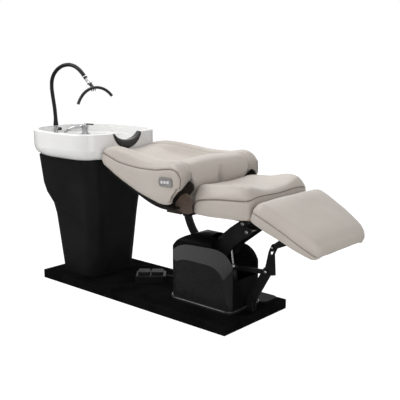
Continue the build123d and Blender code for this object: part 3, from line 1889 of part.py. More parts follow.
def hinge_recess(side):
    """Room in front of a hinge cover, running outwards and forwards to the wing's front end."""
    radius = hinge_cover_radius + soft_gap
    along = math.atan2(hinge_cover_top_z - hinge_cover_low_z, hinge_cover_top_x - hinge_cover_low_x)
    rear = (hinge_cover_low_x - radius * math.sin(along), hinge_cover_low_z + radius * math.cos(along))
    head = (hinge_cover_top_x - radius * math.sin(along), hinge_cover_top_z + radius * math.cos(along))
    low_z = back_under_front_z - 2 * overrun
    front_x = back_front_x + 2 * overrun
    inner = side * (wing_inner(wing_head_x) - overrun)
    middle = side * (hinge_lug_inner_y + hinge_lug_thickness + hinge_cover_gap + hinge_cover_thickness + soft_gap)
    outline = [rear, head, (front_x, head[1]), (front_x, low_z), (rear[0], low_z)]
    face = make_face(Polyline(*[(x, middle, z) for x, z in outline], close=True))
    depth = wing_outer(back_front_x) - abs(middle)
    slant = Vector(recess_run, side * depth, recess_rise)
    straight = extrude(face, abs(middle - inner), dir=(0, -side, 0))
    return straight + extrude(face, slant.length, dir=tuple(slant.normalized()))


def back_shell():
    upper = []
    for step in range(back_under_steps):
        x = shell_rear_x + (shell_front_x - shell_rear_x) * step / (back_under_steps - 1)
        upper.append((x, -sweep_half, under_z(x)))
    lower = []
    for (x, y, z), share in zip(reversed(upper), reversed(shell_depth_shares)):
        lower.append((x, y, z - shell_thin - (shell_thick - shell_thin) * share))
    edges = [Spline(*upper), Line(upper[-1], lower[0]), Spline(*lower), Line(lower[-1], upper[0])]
    pan = extrude(make_face(Wire(edges)), 2 * sweep_half, dir=(0, 1, 0))
    rear_half = wing_outer(shell_rear_x) - shell_inset
    front_half = wing_outer(shell_front_x) - shell_inset
    low_z = back_under_front_z - 2 * overrun
    plan = Polyline(
        (shell_rear_x, -rear_half, low_z),
        (shell_front_x, -front_half, low_z),
        (shell_front_x, front_half, low_z),
        (shell_rear_x, rear_half, low_z),
        close=True,
    )
    pan &= extrude(make_face(plan), basin_rim_z - low_z, dir=(0, 0, 1))
    return pan - hinge_cover_pocket(-1) - hinge_cover_pocket(1)


def hinge_cover_pocket(side):
    inner = side * (hinge_lug_inner_y - 2 * hinge_cover_gap)
    outer = side * (hinge_lug_inner_y + hinge_lug_thickness + hinge_cover_gap + hinge_cover_thickness + soft_gap)
    return bar_xz(
        (hinge_cover_low_x, hinge_cover_low_z),
        (hinge_cover_top_x, hinge_cover_top_z),
        hinge_cover_radius + soft_gap,
        min(inner, outer),
        max(inner, outer),
    )


def hinge_cover(side):
    inner = side * (hinge_lug_inner_y + hinge_lug_thickness + hinge_cover_gap)
    outer = inner + side * hinge_cover_thickness
    low, high = min(inner, outer), max(inner, outer)
    plate = bar_xz(
        (hinge_cover_low_x, hinge_cover_low_z),
        (hinge_cover_top_x, hinge_cover_top_z),
        hinge_cover_radius,
        low,
        high,
    )
    pin_end = side * hinge_lug_inner_y
    pin_low, pin_high = min(pin_end, inner), max(pin_end, inner)
    return plate + rod_y(back_hinge_x, back_hinge_z, back_hinge_radius, pin_low, pin_high)


def panel_frame():
    y = -wing_outer(panel_x) + panel_sink
    turn = -math.degrees(math.atan(wing_outer_growth))
    return Pos(panel_x, y, panel_z) * Rot(0, 0, turn) * Rot(0, -panel_tilt, 0)


def panel_block(extra):
    plate = Box(
        panel_length + 2 * extra,
        panel_thickness + extra,
        panel_height + 2 * extra,
        align=(Align.CENTER, Align.MAX, Align.CENTER),
    )
    return Pos(0, extra, 0) * fillet(plate.edges().filter_by(Axis.Y), panel_corner + extra)


def control_bezel():
    plate = panel_block(0)
    for index in range(button_count):
        x = (index - (button_count - 1) / 2) * button_pitch
        pocket = Box(
            button_width + 2 * button_play,
            button_depth + button_travel,
            button_height + 2 * button_play,
            align=(Align.CENTER, Align.MIN, Align.CENTER),
        )
        pocket = fillet(pocket.edges().filter_by(Axis.Y), button_corner + button_play)
        plate -= Pos(x, -panel_thickness, 0) * pocket
    return panel_frame() * plate


def panel_button(index):
    x = (index - (button_count - 1) / 2) * button_pitch
    cap = Box(
        button_width,
        button_proud + button_depth - clearance,
        button_height,
        align=(Align.CENTER, Align.MIN, Align.CENTER),
    )
    cap = fillet(cap.edges().filter_by(Axis.Y), button_corner)
    return panel_frame() * Pos(x, -panel_thickness - button_proud, 0) * cap


# Legrest
def legrest_place():
    return Pos(leg_hinge_x, 0, leg_hinge_z) * Rot(0, legrest_tilt, 0)


def legrest_cushion():
    stations = (
        (legrest_root_s, legrest_root_half, legrest_under, legrest_root_top),
        (legrest_swell_s, legrest_swell_half, legrest_under, legrest_swell_top),
        (legrest_mid_s, legrest_mid_half, legrest_under, legrest_mid_top),
        (legrest_toe_s, legrest_toe_half, legrest_under, legrest_toe_top),
        (legrest_length, legrest_tip_half, legrest_tip_low, legrest_tip_top),
    )
    wires = []
    for s, half, low, top in stations:
        side_z = low + (top - low) * legrest_side_share
        shoulder_z = low + (top - low) * legrest_shoulder_share
        shoulder = half - legrest_tuck * legrest_shoulder_tuck_share
        flat = half * legrest_flat_share
        edges = [
            Line((s, legrest_tuck - half, low), (s, half - legrest_tuck, low)),
            ThreePointArc((s, half - legrest_tuck, low), (s, half, side_z), (s, shoulder, shoulder_z)),
            Line((s, shoulder, shoulder_z), (s, flat, top)),
            ThreePointArc((s, flat, top), (s, 0, top + legrest_crown), (s, -flat, top)),
            Line((s, -flat, top), (s, -shoulder, shoulder_z)),
            ThreePointArc((s, -shoulder, shoulder_z), (s, -half, side_z), (s, legrest_tuck - half, low)),
        ]
        wires.append(Wire(edges))
    body = Solid.make_loft(wires)
    reach = 2 * legrest_swell_half
    body -= box_between(-reach, legrest_length + reach, -reach, reach, -reach, legrest_under)
    return legrest_place() * body


def legrest_board():
    top = legrest_under - clearance
    board = rounded_box(
        leg_board_root_s,
        leg_board_tip_s,
        -leg_board_half,
        leg_board_half,
        top - leg_board_thickness,
        top,
        2 * legrest_tuck,
    )
    barrel_half = leg_strap_y - leg_strap_width / 2 - drive_gap
    barrel = rod_y(0, 0, leg_hinge_radius, -barrel_half, barrel_half)
    leaf_low = -leg_hinge_radius / 2
    leaf = box_between(0, leg_board_root_s, -barrel_half, barrel_half, leaf_low, -leaf_low)
    pin = rod_y(0, 0, leg_hinge_radius / 2, -barrel_half, barrel_half)
    return legrest_place() * (board + barrel + leaf + pin)


def along_legrest(s, t):
    turn = math.radians(legrest_tilt)
    return (
        leg_hinge_x + s * math.cos(turn) + t * math.sin(turn),
        leg_hinge_z - s * math.sin(turn) + t * math.cos(turn),
    )


def legrest_bracket():
    top = legrest_under - clearance - leg_board_thickness
    near_root = along_legrest(bracket_root_s, top)
    far_root = along_legrest(bracket_tip_s, top)
    pin = (link_pin_x, link_pin_z)
    inner = link_thickness / 2 + bracket_gap
    head_x = bracket_head_radius * bracket_root_share
    head_z = bracket_head_radius * bracket_side_share
    along = link_direction()
    tail = (pin[0] - bracket_tail_run * math.cos(along), pin[1] - bracket_tail_run * math.sin(along))
    body = None
    for side in (-1, 1):
        first = side * inner
        last = side * (inner + bracket_cheek)
        low, high = min(first, last), max(first, last)
        outline = [
            (pin[0] - head_x, pin[1] + head_z),
            near_root,
            far_root,
            (pin[0] + head_x, pin[1] - head_z),
        ]
        cheek = plate_xz(outline, low, high) + rod_y(pin[0], pin[1], bracket_head_radius, low, high)
        cheek += bar_xz(tail, pin, bracket_tail_half, low, high)
        body = cheek if body is None else body + cheek
    reach = inner + bracket_cheek
    body += rod_y(pin[0], pin[1], link_pin_radius, -reach, reach)
    low_root = along_legrest(bracket_root_s, top - bracket_cheek)
    low_tip = along_legrest(bracket_tip_s, top - bracket_cheek)
    flange = bracket_flange_reach * inner
    body += plate_xz([near_root, far_root, low_tip, low_root], -flange, flange)
    return body


# Foot switch
def switch_place():
    return Pos(switch_x, switch_y, plate_height) * Rot(0, 0, switch_turn)


def pedal_pins(side):
    centre_x = side * (pedal_length + pedal_gap) / 2
    reach = pedal_length / 2 - 2 * pedal_lug
    y = pedal_width / 2 - 2 * pedal_lug
    z = switch_height + pedal_lift + pedal_pin_rise
    return [(centre_x - reach, y, z), (centre_x + reach, y, z)]


def foot_switch_case():
    body = Box(switch_length, switch_width, switch_height, align=(Align.CENTER, Align.CENTER, Align.MIN))
    body = fillet(body.edges().filter_by(Axis.Z), switch_corner)
    body = fillet(body.edges().group_by(Axis.Z)[-1], switch_edge)
    for side in (-1, 1):
        for x, y, z in pedal_pins(side):
            lug = Pos(x, y, switch_height - root_overlap) * Box(
                pedal_lug, 2 * pedal_lug, pedal_lug_height + root_overlap, align=(Align.CENTER, Align.CENTER, Align.MIN)
            )
            body += lug - rod((x - pedal_lug, y, z), (x + pedal_lug, y, z), pedal_pin_radius + axle_play)
    body += rod(
        (switch_length / 2 - root_overlap, gland_y, gland_z - plate_height),
        (switch_length / 2 + gland_length, gland_y, gland_z - plate_height),
        gland_radius,
    )
    return switch_place() * body


def foot_pedal(side):
    low = switch_height + pedal_lift
    tread = Box(pedal_length, pedal_width, pedal_thickness, align=(Align.CENTER, Align.CENTER, Align.MIN))
    tread = fillet(tread.edges().filter_by(Axis.Z), pedal_corner)
    tread = fillet(tread.edges().group_by(Axis.Z)[-1], pedal_edge)
    tread = Pos(side * (pedal_length + pedal_gap) / 2, 0, low) * tread
    slot_top = switch_height + pedal_lug_height + pedal_slot_gap
    for x, y, z in pedal_pins(side):
        slot = Pos(x, y, slot_top) * Box(
            pedal_lug + pedal_slot_gap,
            2 * pedal_lug + 2 * pedal_slot_gap,
            2 * pedal_thickness,
            align=(Align.CENTER, Align.CENTER, Align.MAX),
        )
        tread -= slot
        tread += rod((x - pedal_lug, y, z), (x + pedal_lug, y, z), pedal_pin_radius)
    return switch_place() * tread


def cable_route():
    turn = math.radians(switch_turn)
    reach = switch_length / 2 + gland_length
    points = []
    for along in (reach, reach + cable_lead):
        x = switch_x + along * math.cos(turn) - gland_y * math.sin(turn)
        y = switch_y + along * math.sin(turn) + gland_y * math.cos(turn)
        points.append((x, y, gland_z))
    return points + list(zip(cable_points_x, cable_points_y, cable_points_z))


def foot_switch_cable():
    points = cable_route()
    return tube_along(points, arc_limit_radii(points), cable_radius)


def main():
    os.makedirs("parts", exist_ok=True)
    write("base_plate", base_plate())
    write("base_underplate", base_underplate())
    write("end_cover", end_cover())
    hollow = pedestal_hollow()
    write("pedestal_shell", hollow - service_window(clearance))
    write("pedestal_service_panel", hollow & service_window(0))
    write("pedestal_frame", pedestal_frame())
    write("frame_bolts", frame_bolts())
    write("basin", basin())
    write("neck_rest", neck_rest())
    write("drain_strainer", drain_strainer())
    write("waste_trap", waste_trap())
    write("supply_hoses", supply_hoses())
    write("gooseneck_foot", gooseneck_foot())
    write("gooseneck_hose", gooseneck_hose())
    write("hose_clip", hose_clip())
    write("shower_ball", shower_ball())
    write("shower_arc", shower_arc())
    write("valve_knob", valve_knob())
    write("faucet_body", faucet_body())
    write("mixer_lever", mixer_lever())
    write("hand_shower", hand_shower())
    write("lift_frame", lift_frame())
    write("guide_tracks", guide_tracks())
    write("lift_arms", lift_arms())
    write("arm_tie_bolt", arm_tie_bolt())
    write("lift_cylinder", lift_cylinder())
    write("lift_rod", lift_rod())
    write("cover_near_shell", side_shell(-1))
    write("cover_far_shell", side_shell(1))
    write("cover_hood", cover_hood())
    write("cover_flange", cover_flange())
    write("leg_link", leg_link())
    write("leg_foot_bracket", leg_foot_bracket())
    write("drive_link", drive_link())
    write("leg_cylinder", leg_cylinder())
    write("leg_rod", leg_rod())
    write("seat_frame", seat_frame())
    write("seat_pivot_bolt", seat_pivot_bolt())
    write("guide_arm", guide_arm())
    write("seat_board", seat_board())
    write("seat_cushion", seat_cushion())
    write("seat_gusset", seat_gusset())
    write("rest_blocks", rest_blocks())
    write("back_shell", back_shell())
    write("back_cushion", back_cushion())
    write("lumbar_roll", lumbar_roll())
    write("near_wing", wing(-1))
    write("far_wing", wing(1))
    write("hinge_covers", [hinge_cover(-1), hinge_cover(1)])
    write("control_bezel", control_bezel())
    for index, name in enumerate(("rear_button", "middle_button", "front_button")):
        write(name, panel_button(index))
    write("legrest_board", legrest_board())
    write("legrest_cushion", legrest_cushion())
    write("legrest_bracket", legrest_bracket())
    write("foot_switch_case", foot_switch_case())
    write("foot_switch_cable", foot_switch_cable())
    write("up_pedal", foot_pedal(-1))
    write("down_pedal", foot_pedal(1))


main()
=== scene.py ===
import math
import bpy
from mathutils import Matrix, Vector, kdtree, noise
from mathutils.bvhtree import BVHTree


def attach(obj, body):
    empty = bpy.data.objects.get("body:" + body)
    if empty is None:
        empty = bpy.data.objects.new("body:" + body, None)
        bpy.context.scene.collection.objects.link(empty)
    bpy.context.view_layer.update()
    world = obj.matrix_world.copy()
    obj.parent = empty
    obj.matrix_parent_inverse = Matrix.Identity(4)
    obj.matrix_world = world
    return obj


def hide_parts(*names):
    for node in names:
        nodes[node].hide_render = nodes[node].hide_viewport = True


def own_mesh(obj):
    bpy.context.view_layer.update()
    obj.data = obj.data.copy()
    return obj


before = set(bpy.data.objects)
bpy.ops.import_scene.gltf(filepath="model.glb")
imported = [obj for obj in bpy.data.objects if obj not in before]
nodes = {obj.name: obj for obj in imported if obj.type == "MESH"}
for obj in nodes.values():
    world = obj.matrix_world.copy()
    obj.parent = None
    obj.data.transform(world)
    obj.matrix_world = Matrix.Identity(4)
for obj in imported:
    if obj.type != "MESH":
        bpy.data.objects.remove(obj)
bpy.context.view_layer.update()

# Camera, at the height of a standing person's chest, off the foot end.
# A short telephoto lens in line with the near front corner of the base.
camera_place = (2.5102, -2.5225, 1.2127)
camera_aim = (0.3012, 0.0, 0.5342)
camera_lens = 63.29
sensor_width = 36.0


def add_object(name, data):
    """A new object with this data, placed in the scene."""
    made = bpy.data.objects.new(name, data)
    bpy.context.scene.collection.objects.link(made)
    return made


def point_at(made, place, target):
    """Stands a camera or lamp at a place and turns its front to the target."""
    made.location = place
    made.rotation_euler = (Vector(target) - Vector(place)).to_track_quat("-Z", "Y").to_euler()


camera = add_object("camera", bpy.data.cameras.new("camera"))
camera.data.lens = camera_lens
camera.data.sensor_width = sensor_width
point_at(camera, camera_place, camera_aim)
bpy.context.scene.camera = camera


# Foot switch lead, a thin round PVC cable from the switch's gland to the lift cover.
# It drops onto the base plate and rises a little to its hole in the cover's hood.
lead_route = (
    (-0.00946, 0.09954, 0.060),
    (0.01771, 0.12316, 0.060),
    (0.052, 0.134, 0.0515),
    (0.098, 0.130, 0.051),
    (0.138, 0.108, 0.053),
    (0.168, 0.086, 0.064),
    (0.200, 0.072, 0.070),
)
lead_radius = 0.0035


def set_inputs(node, **values):
    """Values for a shader node's inputs, where an underscore stands for the space in an input's name."""
    for name, value in values.items():
        node.inputs[name.replace("_", " ")].default_value = value


def add_node(tree, kind, **values):
    node = tree.nodes.new("ShaderNode" + kind)
    set_inputs(node, **values)
    return node


def join(tree, source, output, target, entry):
    tree.links.new(source.outputs[output], target.inputs[entry])


def new_material(name, roughness, metallic=0.0):
    made = bpy.data.materials.new(name)
    made.use_nodes = True
    shader = made.node_tree.nodes["Principled BSDF"]
    set_inputs(shader, Roughness=roughness, Metallic=metallic)
    return made, made.node_tree, shader


def mottle(tree, shader, dark, light, size, start=0.35, stop=0.68):
    """A colour that drifts between dark and light in soft clouds."""
    place = add_node(tree, "TexCoord")
    cloud = add_node(tree, "TexNoise", Scale=size, Detail=4.0)
    ramp = add_node(tree, "ValToRGB")
    for element, position, colour in zip(ramp.color_ramp.elements, (start, stop), (dark, light)):
        element.position = position
        element.color = (*colour, 1)
    join(tree, place, "Object", cloud, "Vector")
    join(tree, cloud, "Fac", ramp, "Fac")
    join(tree, ramp, "Color", shader, "Base Color")
    return place, ramp


def vary_gloss(tree, shader, place, size, smooth, rough):
    """Faint smears, in which the gloss goes from smooth to rough."""
    smear = add_node(tree, "TexNoise", Scale=size, Detail=3.0)
    span = add_node(tree, "MapRange", To_Min=smooth, To_Max=rough)
    join(tree, place, "Object", smear, "Vector")
    join(tree, smear, "Fac", span, "Value")
    join(tree, span, "Result", shader, "Roughness")


def fine_grain(tree, shader, place, size, strength, depth):
    """A fine surface grain that shows only in the light it catches."""
    speck = add_node(tree, "TexNoise", Scale=size, Detail=2.0)
    bump = add_node(tree, "Bump", Strength=strength, Distance=depth)
    join(tree, place, "Object", speck, "Vector")
    join(tree, speck, "Fac", bump, "Height")
    join(tree, bump, "Normal", shader, "Normal")


def plain_finish(
    name, dark, light, roughness, metallic=0.0, cloud=9.0, grain=900.0, depth=0.0002, strength=0.3, shine=0.5
):
    """A paint, plastic, rubber or metal with cloudy colour, uneven gloss and a fine grain."""
    made, tree, shader = new_material(name, roughness, metallic)
    set_inputs(shader, Specular_IOR_Level=shine)
    place, _ = mottle(tree, shader, dark, light, cloud)
    smear_size = 2.3 * cloud
    smoothest = max(roughness - 0.06, 0.02)
    roughest = roughness + 0.07
    vary_gloss(tree, shader, place, smear_size, smoothest, roughest)
    fine_grain(tree, shader, place, grain, strength, depth)
    return made


def add_curve(name, points, radius):
    """A round cord along a soft curve."""
    data = bpy.data.curves.new(name, "CURVE")
    data.dimensions = "3D"
    data.bevel_depth = radius
    data.bevel_resolution = 4
    data.resolution_u = 8
    data.use_fill_caps = True
    spline = data.splines.new("NURBS")
    spline.points.add(len(points) - 1)
    for point, place in zip(spline.points, points):
        point.co = (*place, 1)
    spline.order_u = 3
    spline.use_endpoint_u = True
    return add_object(name, data)


cable_skin = plain_finish(
    "cable_skin", (0.008, 0.008, 0.009), (0.018, 0.018, 0.019), roughness=0.42, grain=1500.0, shine=0.25
)
switch_lead = add_curve("switch_lead", lead_route, lead_radius)
switch_lead.data.materials.append(cable_skin)
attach(switch_lead, "base")
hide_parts("foot_switch_cable")


# Base plate, one folded sheet of mild steel with a stiffener under it, powder coated black.
# It stands on the floor, and the pedestal and the lift are bolted to it.
coated_black = (0.0045, 0.0045, 0.0047)
coated_black_light = (0.0085, 0.0085, 0.0088)


def coat(material, *names):
    for name in names:
        for slot in nodes[name].material_slots:
            slot.link = "OBJECT"
            slot.material = material


powder_coat = plain_finish(
    "powder_coat", coated_black, coated_black_light, roughness=0.5, grain=1400.0, depth=0.0003, shine=0.0
)
underside_coat = plain_finish("underside_coat", coated_black, coated_black_light, roughness=0.6, shine=0.1)
coat(powder_coat, "base_plate")
coat(underside_coat, "base_underplate")


# Pedestal, a deep thermoformed shell in satin black with a removable rear panel.
# Inside it a welded and bolted steel frame carries the basin.
satin_dark = (0.0065, 0.0065, 0.0068)
satin_light = (0.0115, 0.0115, 0.012)
pedestal_skin = plain_finish(
    "pedestal_skin", satin_dark, satin_light, roughness=0.34, cloud=5.0, grain=420.0, strength=0.12, shine=0.22
)
panel_skin = plain_finish(
    "panel_skin", satin_dark, satin_light, roughness=0.40, cloud=6.0, grain=750.0, depth=0.0004, shine=0.22
)
frame_paint = plain_finish(
    "frame_paint", (0.010, 0.010, 0.011), (0.018, 0.018, 0.019), roughness=0.5, grain=500.0, shine=0.25
)
zinc_bolt = plain_finish(
    "zinc_bolt", (0.32, 0.32, 0.31), (0.45, 0.45, 0.44), roughness=0.33, metallic=1.0, cloud=120.0, grain=800.0
)
coat(pedestal_skin, "pedestal_shell")
coat(panel_skin, "pedestal_service_panel")
coat(frame_paint, "pedestal_frame")
coat(zinc_bolt, "frame_bolts")


# Basin, slip cast vitreous china with a thick white glaze, fired in one piece.
# The deck behind the bowl carries the taps, and the lip is cut low for the neck.
glaze, tree, shader = new_material("glaze", roughness=0.12)
place, _ = mottle(tree, shader, (0.83, 0.83, 0.825), (0.87, 0.87, 0.865), size=3.0)
set_inputs(shader, Coat_Weight=0.35, Coat_Roughness=0.04)
fine_grain(tree, shader, place, size=38.0, strength=0.12, depth=0.0006)
coat(glaze, "basin")


# Waste and water under the basin: a chromed strainer, a plastic trap and two hoses.
# The hoses have a braided steel sleeve. The pedestal hides all but the strainer.
chrome_dark = (0.40, 0.40, 0.41)
chrome_light = (0.48, 0.48, 0.49)


def wave_relief(tree, shader, place, size, distortion, depth):
    """Raised bands, straight for a small distortion and wandering for a large one."""
    wave = add_node(tree, "TexWave", Scale=size, Distortion=distortion)
    bump = add_node(tree, "Bump", Distance=depth)
    join(tree, place, "Object", wave, "Vector")
    join(tree, wave, "Fac", bump, "Height")
    join(tree, bump, "Normal", shader, "Normal")


chrome = plain_finish(
    "chrome", chrome_dark, chrome_light, roughness=0.10, metallic=1.0, cloud=20.0, grain=60.0, depth=0.0001
)
trap_plastic = plain_finish("trap_plastic", (0.50, 0.50, 0.50), (0.58, 0.58, 0.57), roughness=0.4)
braid, tree, shader = new_material("braid", roughness=0.35, metallic=0.9)
place, _ = mottle(tree, shader, (0.30, 0.30, 0.30), (0.55, 0.55, 0.55), size=400.0)
wave_relief(tree, shader, place, size=160.0, distortion=6.0, depth=0.0006)
coat(chrome, "drain_strainer")
coat(trap_plastic, "waste_trap")
coat(braid, "supply_hoses")


# Gooseneck shower: a steel core in a black rubber sleeve, chromed foot, clip ring and ball.
# The curved spray bar is black plastic with three small nozzles.
sleeve_rubber = plain_finish(
    "sleeve_rubber",
    (0.006, 0.006, 0.006),
    (0.014, 0.014, 0.014),
    roughness=0.48,
    cloud=30.0,
    grain=700.0,
    shine=0.15,
)
spray_plastic = plain_finish(
    "spray_plastic", (0.006, 0.006, 0.006), (0.012, 0.012, 0.012), roughness=0.30, cloud=20.0, shine=0.3
)
coat(sleeve_rubber, "gooseneck_hose")
coat(spray_plastic, "shower_arc", "valve_knob")
coat(chrome, "gooseneck_foot", "hose_clip", "shower_ball")


# Basin mixer and hand shower: cast brass, polished and chromed, screwed to the deck.
# The lever's free end is sheathed in black plastic.
grip_rear_x = -0.578
lever_finish, tree, shader = new_material("lever_finish", roughness=0.08, metallic=1.0)
place, _ = mottle(tree, shader, chrome_dark, chrome_light, size=20.0)
vary_gloss(tree, shader, place, size=46.0, smooth=0.06, rough=0.16)
fine_grain(tree, shader, place, size=60.0, strength=0.3, depth=0.0001)
grip = add_node(tree, "BsdfPrincipled", Base_Color=(0.008, 0.008, 0.008, 1), Roughness=0.28)
where = add_node(tree, "SeparateXYZ")
past = add_node(tree, "Math")
past.operation = "GREATER_THAN"
past.inputs[1].default_value = grip_rear_x
both = add_node(tree, "MixShader")
join(tree, place, "Object", where, "Vector")
join(tree, where, "X", past, 0)
join(tree, past, "Value", both, "Fac")
join(tree, shader, "BSDF", both, 1)
join(tree, grip, "BSDF", both, 2)
join(tree, both, "Shader", tree.nodes["Material Output"], "Surface")
coat(chrome, "faucet_body", "hand_shower")
coat(lever_finish, "mixer_lever")


# Lift: a welded steel stand, two plate arms on a shaft and a guide track for the rear arm.
# The parts are painted black, the bolts have domed heads in bright dark steel.
arm_paint = plain_finish(
    "arm_paint",
    (0.007, 0.007, 0.0075),
    (0.014, 0.014, 0.0145),
    roughness=0.34,
    cloud=12.0,
    grain=500.0,
    depth=0.0004,
    shine=0.25,
)
domed_steel = plain_finish(
    "domed_steel", (0.36, 0.36, 0.36), (0.52, 0.52, 0.52), roughness=0.30, metallic=1.0, cloud=80.0
)
coat(arm_paint, "lift_frame", "guide_tracks", "lift_arms", "guide_arm", "leg_link", "drive_link", "leg_foot_bracket")
coat(domed_steel, "arm_tie_bolt", "seat_pivot_bolt")


def dome_head(name, place, radius, depth, body):
    """A low domed rivet head facing the near side, flat at the back."""
    points, faces = [], []
    rows, count = 7, 28
    for row in range(rows):
        lift = math.pi / 2 * row / rows
        out = radius * math.cos(lift)
        for index in range(count):
            turn = 2 * math.pi * index / count
            x = place[0] + out * math.cos(turn)
            z = place[2] + out * math.sin(turn)
            points.append((x, place[1] - depth * math.sin(lift), z))
    points.append((place[0], place[1] - depth, place[2]))
    for row in range(rows - 1):
        for index in range(count):
            here, side = row * count + index, row * count + (index + 1) % count
            faces.append((here, side, side + count, here + count))
    for index in range(count):
        faces.append(((rows - 1) * count + index, (rows - 1) * count + (index + 1) % count, rows * count))
    faces.append(tuple(range(count - 1, -1, -1)))
    data = bpy.data.meshes.new(name)
    data.from_pydata(points, [], faces)
    data.update()
    data.shade_smooth()
    made = add_object(name, data)
    made.data.materials.append(domed_steel)
    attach(made, body)


dome_head("knee_pin_head", (0.710, -0.0163, 0.255), radius=0.0085, depth=0.0045, body="leg_link")
dome_head("bracket_pin_head", (0.746, -0.0210, 0.377), radius=0.0075, depth=0.0045, body="legrest")


# Actuators: two closed electric cylinders, painted black, with bright steel rods.
# One raises the bed and the other drives the legrest's link; each turns on a pin at both ends.
rod_steel = plain_finish(
    "rod_steel", (0.30, 0.30, 0.30), (0.42, 0.42, 0.42), roughness=0.22, metallic=1.0, cloud=60.0, grain=300.0
)
cylinder_paint = plain_finish(
    "cylinder_paint", (0.010, 0.010, 0.010), (0.018, 0.018, 0.018), roughness=0.4, shine=0.25
)
coat(cylinder_paint, "lift_cylinder", "leg_cylinder")
coat(rod_steel, "lift_rod", "leg_rod")


# Lift cover: two moulded side shells over an inner hood, standing in a low flange.
# All are satin black plastic with a fine moulded texture. The hood lies sunk in the slot between the shells, and its
# darker colour is painted shade of that recess.
# The low cover on the plate's foot end is of the same kind.
cover_skin = plain_finish(
    "cover_skin",
    (0.009, 0.009, 0.0095),
    (0.015, 0.015, 0.0155),
    roughness=0.27,
    cloud=6.0,
    grain=420.0,
    strength=0.10,
)
# Painted shade: the hood is darker than the shells, for the shade inside the slot between them.
hood_shade_skin = plain_finish(
    "hood_shade_skin", (0.003, 0.003, 0.003), (0.006, 0.006, 0.006), roughness=0.42, cloud=6.0, shine=0.06
)
end_skin = plain_finish(
    "end_skin", (0.006, 0.006, 0.006), (0.011, 0.011, 0.011), roughness=0.4, grain=420.0, strength=0.12, shine=0.02
)
coat(cover_skin, "cover_near_shell", "cover_far_shell", "cover_flange")
coat(hood_shade_skin, "cover_hood")
coat(end_skin, "end_cover")


# Seat frame of flat welded rails, painted black, that the lift arms carry.
# The seat's and legrest's boards are plywood, and two rubber rest blocks sit under the rear rail ends.
ply, tree, shader = new_material("ply", roughness=0.55)
place, _ = mottle(tree, shader, (0.22, 0.13, 0.07), (0.36, 0.24, 0.14), size=12.0)
wave_relief(tree, shader, place, size=30.0, distortion=9.0, depth=0.0003)
block_rubber = plain_finish(
    "block_rubber", (0.038, 0.030, 0.024), (0.060, 0.048, 0.037), roughness=0.55, shine=0.2
)
coat(arm_paint, "seat_frame")
coat(ply, "seat_board", "legrest_board")
coat(block_rubber, "rest_blocks")


# Seat cushion: moulded foam on the board under a greige hide, two raised side lobes and a dished middle.
# A boxing strip goes round the sides, and piping in a darker thread closes the top panel.
hide_dark = (0.435, 0.393, 0.352)
hide_light = (0.530, 0.487, 0.443)
# Painted shade: the dark brown the hide is drawn towards in the seam grooves, for the shade that gathers there.
seam_shade_colour = (0.20, 0.165, 0.135)
fold_share = 0.35
ring_points = 132
stations_along = 96
end_rows = 9
seam_points = 120
seam_throw = 0.5
seam_shade_strength = 0.30
gather = 0.0005
gather_reach = 3.2

hide, tree, shader = new_material("hide", roughness=0.45)
place, ramp = mottle(tree, shader, hide_dark, hide_light, size=3.5, start=0.2, stop=0.8)
seam_shade_mask = add_node(tree, "Attribute")
seam_shade_mask.attribute_name = "crease_shade"
# Painted shade in the seam grooves: the hide is mixed towards the dark tone where the crease attribute is set.
tint = add_node(tree, "Mix")
tint.data_type = "RGBA"
set_inputs(tint, B=(*seam_shade_colour, 1))
join(tree, seam_shade_mask, "Fac", tint, "Factor")
join(tree, ramp, "Color", tint, "A")
join(tree, tint, "Result", shader, "Base Color")
set_inputs(shader, Sheen_Weight=0.12, Sheen_Roughness=0.5)
vary_gloss(tree, shader, place, size=22.0, smooth=0.40, rough=0.54)
pebble = add_node(tree, "TexVoronoi")
pebble.feature = "DISTANCE_TO_EDGE"
set_inputs(pebble, Scale=620.0)
fold = add_node(tree, "TexNoise", Scale=26.0, Detail=5.0)
stack = add_node(tree, "Math")
stack.operation = "MULTIPLY_ADD"
stack.inputs[1].default_value = fold_share
bump = add_node(tree, "Bump", Strength=0.35, Distance=0.0012)
join(tree, place, "Object", pebble, "Vector")
join(tree, place, "Object", fold, "Vector")
join(tree, pebble, "Distance", stack, 0)
join(tree, fold, "Fac", stack, 2)
join(tree, stack, "Value", bump, "Height")
join(tree, bump, "Normal", shader, "Normal")

cord_hide = plain_finish("cord_hide", (0.13, 0.105, 0.088), (0.20, 0.165, 0.14), roughness=0.5, cloud=60.0)


def smooth_through(points, count, closed=False):
    """Points of a soft curve through the given ones, evenly numbered between each pair."""
    size = len(points)
    spans = size if closed else size - 1
    result = []
    for number in range(count):
        along = spans * number / (count if closed else count - 1)
        start = min(int(along), spans - 1)
        t = along - start
        picks = []
        for step in (-1, 0, 1, 2):
            index = start + step
            picks.append(points[index % size] if closed else points[min(max(index, 0), size - 1)])
        values = []
        for a, b, c, d in zip(*picks):
            values.append(
                0.5 * (2 * b + (c - a) * t + (2 * a - 5 * b + 4 * c - d) * t * t + (3 * b - a - 3 * c + d) * t ** 3)
            )
        result.append(tuple(values))
    return result


def mirrored_ring(half_outline):
    """A closed soft section from its far half, whose first and last points lie in the middle."""
    other = [(-y, z) for y, z in reversed(half_outline[1:-1])]
    return smooth_through(half_outline + other, ring_points, closed=True)


